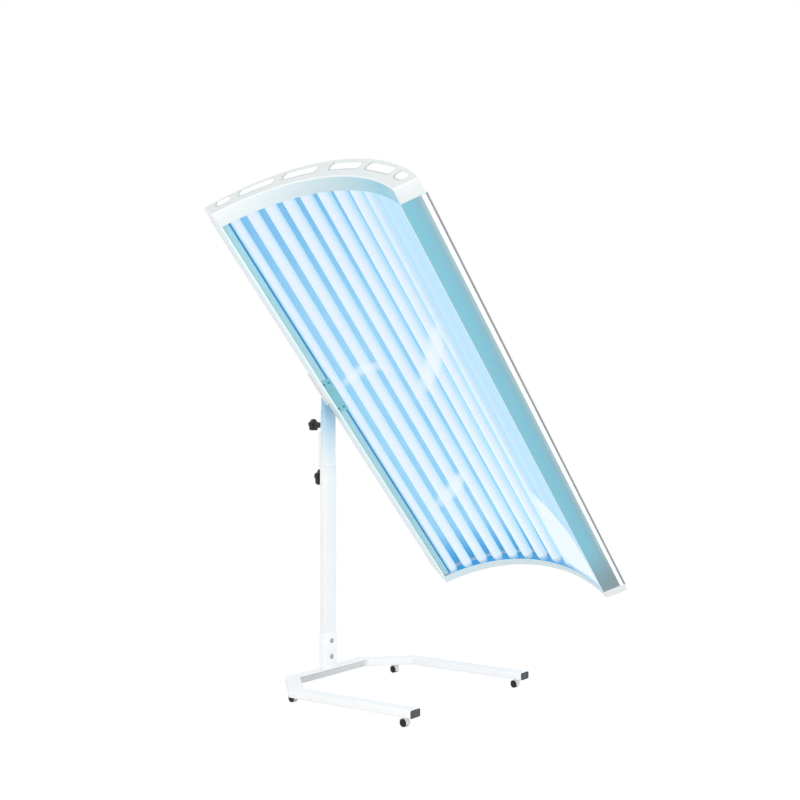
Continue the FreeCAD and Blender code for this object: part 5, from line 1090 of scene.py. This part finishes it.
def glare(degrees, along):
    """Shares of painted haze and of painted reflection strokes at places on the sheet.

    A stroke is a line of points with a half width and a strength at each: the share is its strength times a bell
    of the distance to the line. The wedge near the foot is full between two edges that part towards the end.
    """
    painted_haze = np.interp(degrees, *zip(*HAZE_SHARE))
    across = np.radians(degrees) * SHIELD_R
    pale_highlight = np.zeros_like(painted_haze)
    for line, widths, strengths in STROKES:
        line = np.array(line) * (math.radians(1) * SHIELD_R, 1)
        for a, b, w, v in zip(line[:-1], line[1:], zip(widths, widths[1:]), zip(strengths, strengths[1:])):
            run = b - a
            t = np.clip(((across - a[0]) * run[0] + (along - a[1]) * run[1]) / (run @ run), 0, 1)
            away = np.hypot(across - a[0] - t * run[0], along - a[1] - t * run[1])
            pale_highlight = np.maximum(pale_highlight, (v[0] + (v[1] - v[0]) * t) * np.exp(-(away / (w[0] + (w[1] - w[0]) * t)) ** 4))
    start, stop = (np.interp(-along, np.negative(WEDGE_RUN), edge) for edge in (WEDGE_FROM, WEDGE_TO))
    soft = faded(degrees, start, start + WEDGE_SOFT) * faded(degrees, stop, stop - WEDGE_SOFT)
    reach = faded(along, -432.0, -492.0) * faded(along, -872.0, -852.0)
    return painted_haze, np.maximum(pale_highlight, WEDGE_SHARE * soft * reach)


shield_clear = bpy.data.materials.new("clear_acrylic")
tree = tree_of(shield_clear)
place = add(tree, "TexCoord").outputs["Object"]
ripple, smear = noise(tree, place, 2.2, 1.0), noise(tree, place, 7.0, 5.0)
waves = add(tree, "Bump", {"Strength": 0.08, "Distance": 0.004, "Height": ripple}).outputs[0]
blur = mapped(tree, smear, 0.35, 0.7, 0.03, 0.08)
clear = add(tree, "BsdfTransparent", {"Color": (*SHIELD_TINT, 1)}).outputs[0]
shine = add(tree, "BsdfGlossy", {"Color": (*SHIELD_GLOSS, 1), "Roughness": blur, "Normal": waves}).outputs[0]
slant = add(tree, "Fresnel", {"IOR": SHIELD_INDEX, "Normal": waves}).outputs[0]
front_only = both_of(tree, "SUBTRACT", 1.0, add(tree, "NewGeometry").outputs["Backfacing"])
surface = mixed(tree, both_of(tree, "MULTIPLY", slant, front_only), clear, shine)
# painted haze and painted reflection strokes glow on the sheet's outer face
for mark, colour in (("painted_haze", PAINTED_HAZE_COLOUR), ("painted_stroke", PAINTED_STROKE_COLOUR)):
    painted_glare = add(tree, "Emission", {"Color": (*colour, 1), "Strength": 1.0}).outputs[0]
    surface = mixed(tree, both_of(tree, "MULTIPLY", marked(tree, mark), front_only), surface, painted_glare)
add(tree, "OutputMaterial", {0: surface})
turns, levels = np.linspace(-SHIELD_HALF, SHIELD_HALF, SHEET_STEPS), np.linspace(SHIELD_LOW, SHIELD_HIGH, 177)
painted_haze, painted_stroke = glare(np.tile(np.concatenate([turns, turns[::-1]]), len(levels)), np.repeat(levels, 2 * SHEET_STEPS))
face_only = np.tile(np.repeat([1.0, 0.0], SHEET_STEPS), len(levels))
piece("shield_sheet", [bent(SHIELD_R, SHIELD_THICK, SHIELD_HALF, levels)], shield_clear, "canopy",
      ["shield"], crease=60, marks={"painted_haze": painted_haze * face_only, "painted_stroke": painted_stroke * face_only})


# -------------------------------------------------------------- pivot bracket
# A pressed steel angle, powder-coated white: one plate turns on the shaft beside the
# mast, its wing is bolted through the post-side rail against a plate under the shield.
BRACKET_X, BRACKET_THICK, BRACKET_LOW, BRACKET_HIGH, BRACKET_BACK = 16.0, 8.0, 36.0, 186.0, 145.0
WING_FROM, WING_TO, WALL_GAP, BRACKET_EDGE = 5.0, 50.0, 0.1, 0.8
rear_wall = unit(np.array(side_cut[-1]) - TIP)
off_wall = np.array([-rear_wall[1], rear_wall[0]])


def on_wall(reach, rise):
    """Point by its reach along the rail's rear wall from the tip and its rise off it, a gap left between."""
    return np.array(TIP) + reach * rear_wall + (rise + WALL_GAP) * off_wall


outer_x, wing_d = BRACKET_X + BRACKET_THICK, on_wall(WING_FROM, BRACKET_THICK)[1]
angle_cut = [(BRACKET_X, TIP_D), (TIP[0] - 0.5, TIP_D), on_wall(WING_FROM, 0.0), on_wall(WING_TO, 0.0),
             on_wall(WING_TO, BRACKET_THICK), (outer_x, wing_d + 3), (outer_x, BRACKET_BACK), (BRACKET_X, BRACKET_BACK)]
outline, tighter = (softened(cut, [1.2, 1.2, 1.2, 1.5, 1.5, 7.0, 1.2, 1.2], 4)
                    for cut in (angle_cut, shrunk(angle_cut, BRACKET_EDGE)))
bracket = lofted([(tighter, BRACKET_LOW), (outline, BRACKET_LOW + BRACKET_EDGE),
                  (outline, BRACKET_HIGH - BRACKET_EDGE), (tighter, BRACKET_HIGH)])
piece("bracket_angle", [shell(on_canopy(bracket))], frame_white, "canopy", ["pivot_bracket"])

# the bracket plate glows a little: painted light
plate_teal = coating("plate_anodised", (0.22, 0.52, 0.58), (0.19, 0.47, 0.53), rough=(0.34, 0.44), metal=0.2,
                     grain=900, relief=0.08, glow=0.1)
coated(plate_teal, "rail_bracket_plate")
bolt_teal = coating("bolt_anodised", (0.02, 0.2, 0.24), (0.03, 0.24, 0.28), rough=(0.3, 0.42), metal=0.3, patch=60,
                    grain=900, relief=0.05)
coated(bolt_teal, "rail_bolts")


# ----------------------------------------------------------------- electrics
# Six twin-lamp ballasts in bright tinned cases and a moulded terminal block sit behind
# the reflector. The mains gland is a black nylon nut, ribbed dome and threaded sleeve.
tinned_case = coating("tinned_case", (0.6, 0.61, 0.62), (0.54, 0.55, 0.56), rough=(0.25, 0.4), metal=0.85, patch=14,
                      grain=700, relief=0.06)
block_white = coating("terminal_plastic", (0.72, 0.72, 0.7), (0.68, 0.68, 0.66), rough=(0.45, 0.55), grain=1500,
                      relief=0.12)
gland_black = coating("gland_nylon", (0.03, 0.03, 0.032), (0.045, 0.045, 0.047), rough=(0.42, 0.56), grain=1600,
                      relief=0.15)
coated(tinned_case, "ballasts")
coated(block_white, "terminal_block")
GLAND_TURN, GLAND_ALONG, GLAND_BORE, GLAND_AROUND = -26.0, -60.0, 4.55, 72


def nut_ring(across, grip=0.0):
    """Ring of a hexagon with that radius across corners, or of a circle with grip ribs, less the inset."""
    turn = full_turn(GLAND_AROUND)
    side = (turn + math.pi / 6) % (math.pi / 3) - math.pi / 6
    edge = across - grip * (0.5 - 0.5 * np.cos(18 * turn)) if grip else across * math.cos(math.pi / 6) / np.cos(side)
    return lambda inset: (edge - inset)[:, None] * compass(turn)


def bored(rows):
    """Rows of outline, inset and height, closed along the gland's bore."""
    bore = nut_ring(GLAND_BORE + 0.001, 0.002)
    full = [(bore, 0.0, rows[0][2])] + rows + [(bore, 0.0, rows[-1][2])]
    return lofted([(ring(inset), height) for ring, inset, height in full])


nut, dome, tube = nut_ring(8.95), nut_ring(8.5, 0.5), nut_ring(6.95, 0.002)
hex_nut = [(nut, 0.8, 0.1), (nut, 0.0, 0.7), (nut, 0.0, 4.6), (nut, 0.8, 5.2)]
dome_nut = [(dome, 0.4, 5.3), (dome, 0.0, 5.8), (dome, 0.0, 8.6), (dome, 0.4, 10.0), (dome, 1.1, 11.2),
            (dome, 2.0, 11.9), (tube, 0.9, 12.0), (tube, 0.8, 15.4), (tube, 1.3, 15.9)]
threaded = [(tube, 0.8, -7.9)]
for at in np.arange(-7.4, -1.0, THREAD_PITCH):
    threaded += [(tube, 0.0, at), (tube, 0.0, at + 0.4), (tube, 0.6, at + 0.8), (tube, 0.6, at + 1.1)]
threaded += [(tube, 0.0, 0.09)]
piece("gland_body", [shell(outwards(bored(rows), BACK_R, GLAND_TURN, GLAND_ALONG), loop=True)
                     for rows in (hex_nut, dome_nut, threaded)], gland_black, "canopy", ["mains_gland"])


# ----------------------------------------------------------------------- fan
# A small axial fan in a square black moulded frame draws the warm air out behind the
# fifth window of the head cap.
fan_plastic = coating("fan_plastic", (0.022, 0.022, 0.023), (0.034, 0.034, 0.035), rough=(0.4, 0.55), grain=1500,
                      relief=0.15)
blade_plastic = coating("fan_blades", (0.03, 0.031, 0.033), (0.042, 0.043, 0.045), rough=(0.3, 0.42), grain=1300,
                        relief=0.08)
coated(fan_plastic, "fan_frame")
coated(blade_plastic, "fan_rotor")
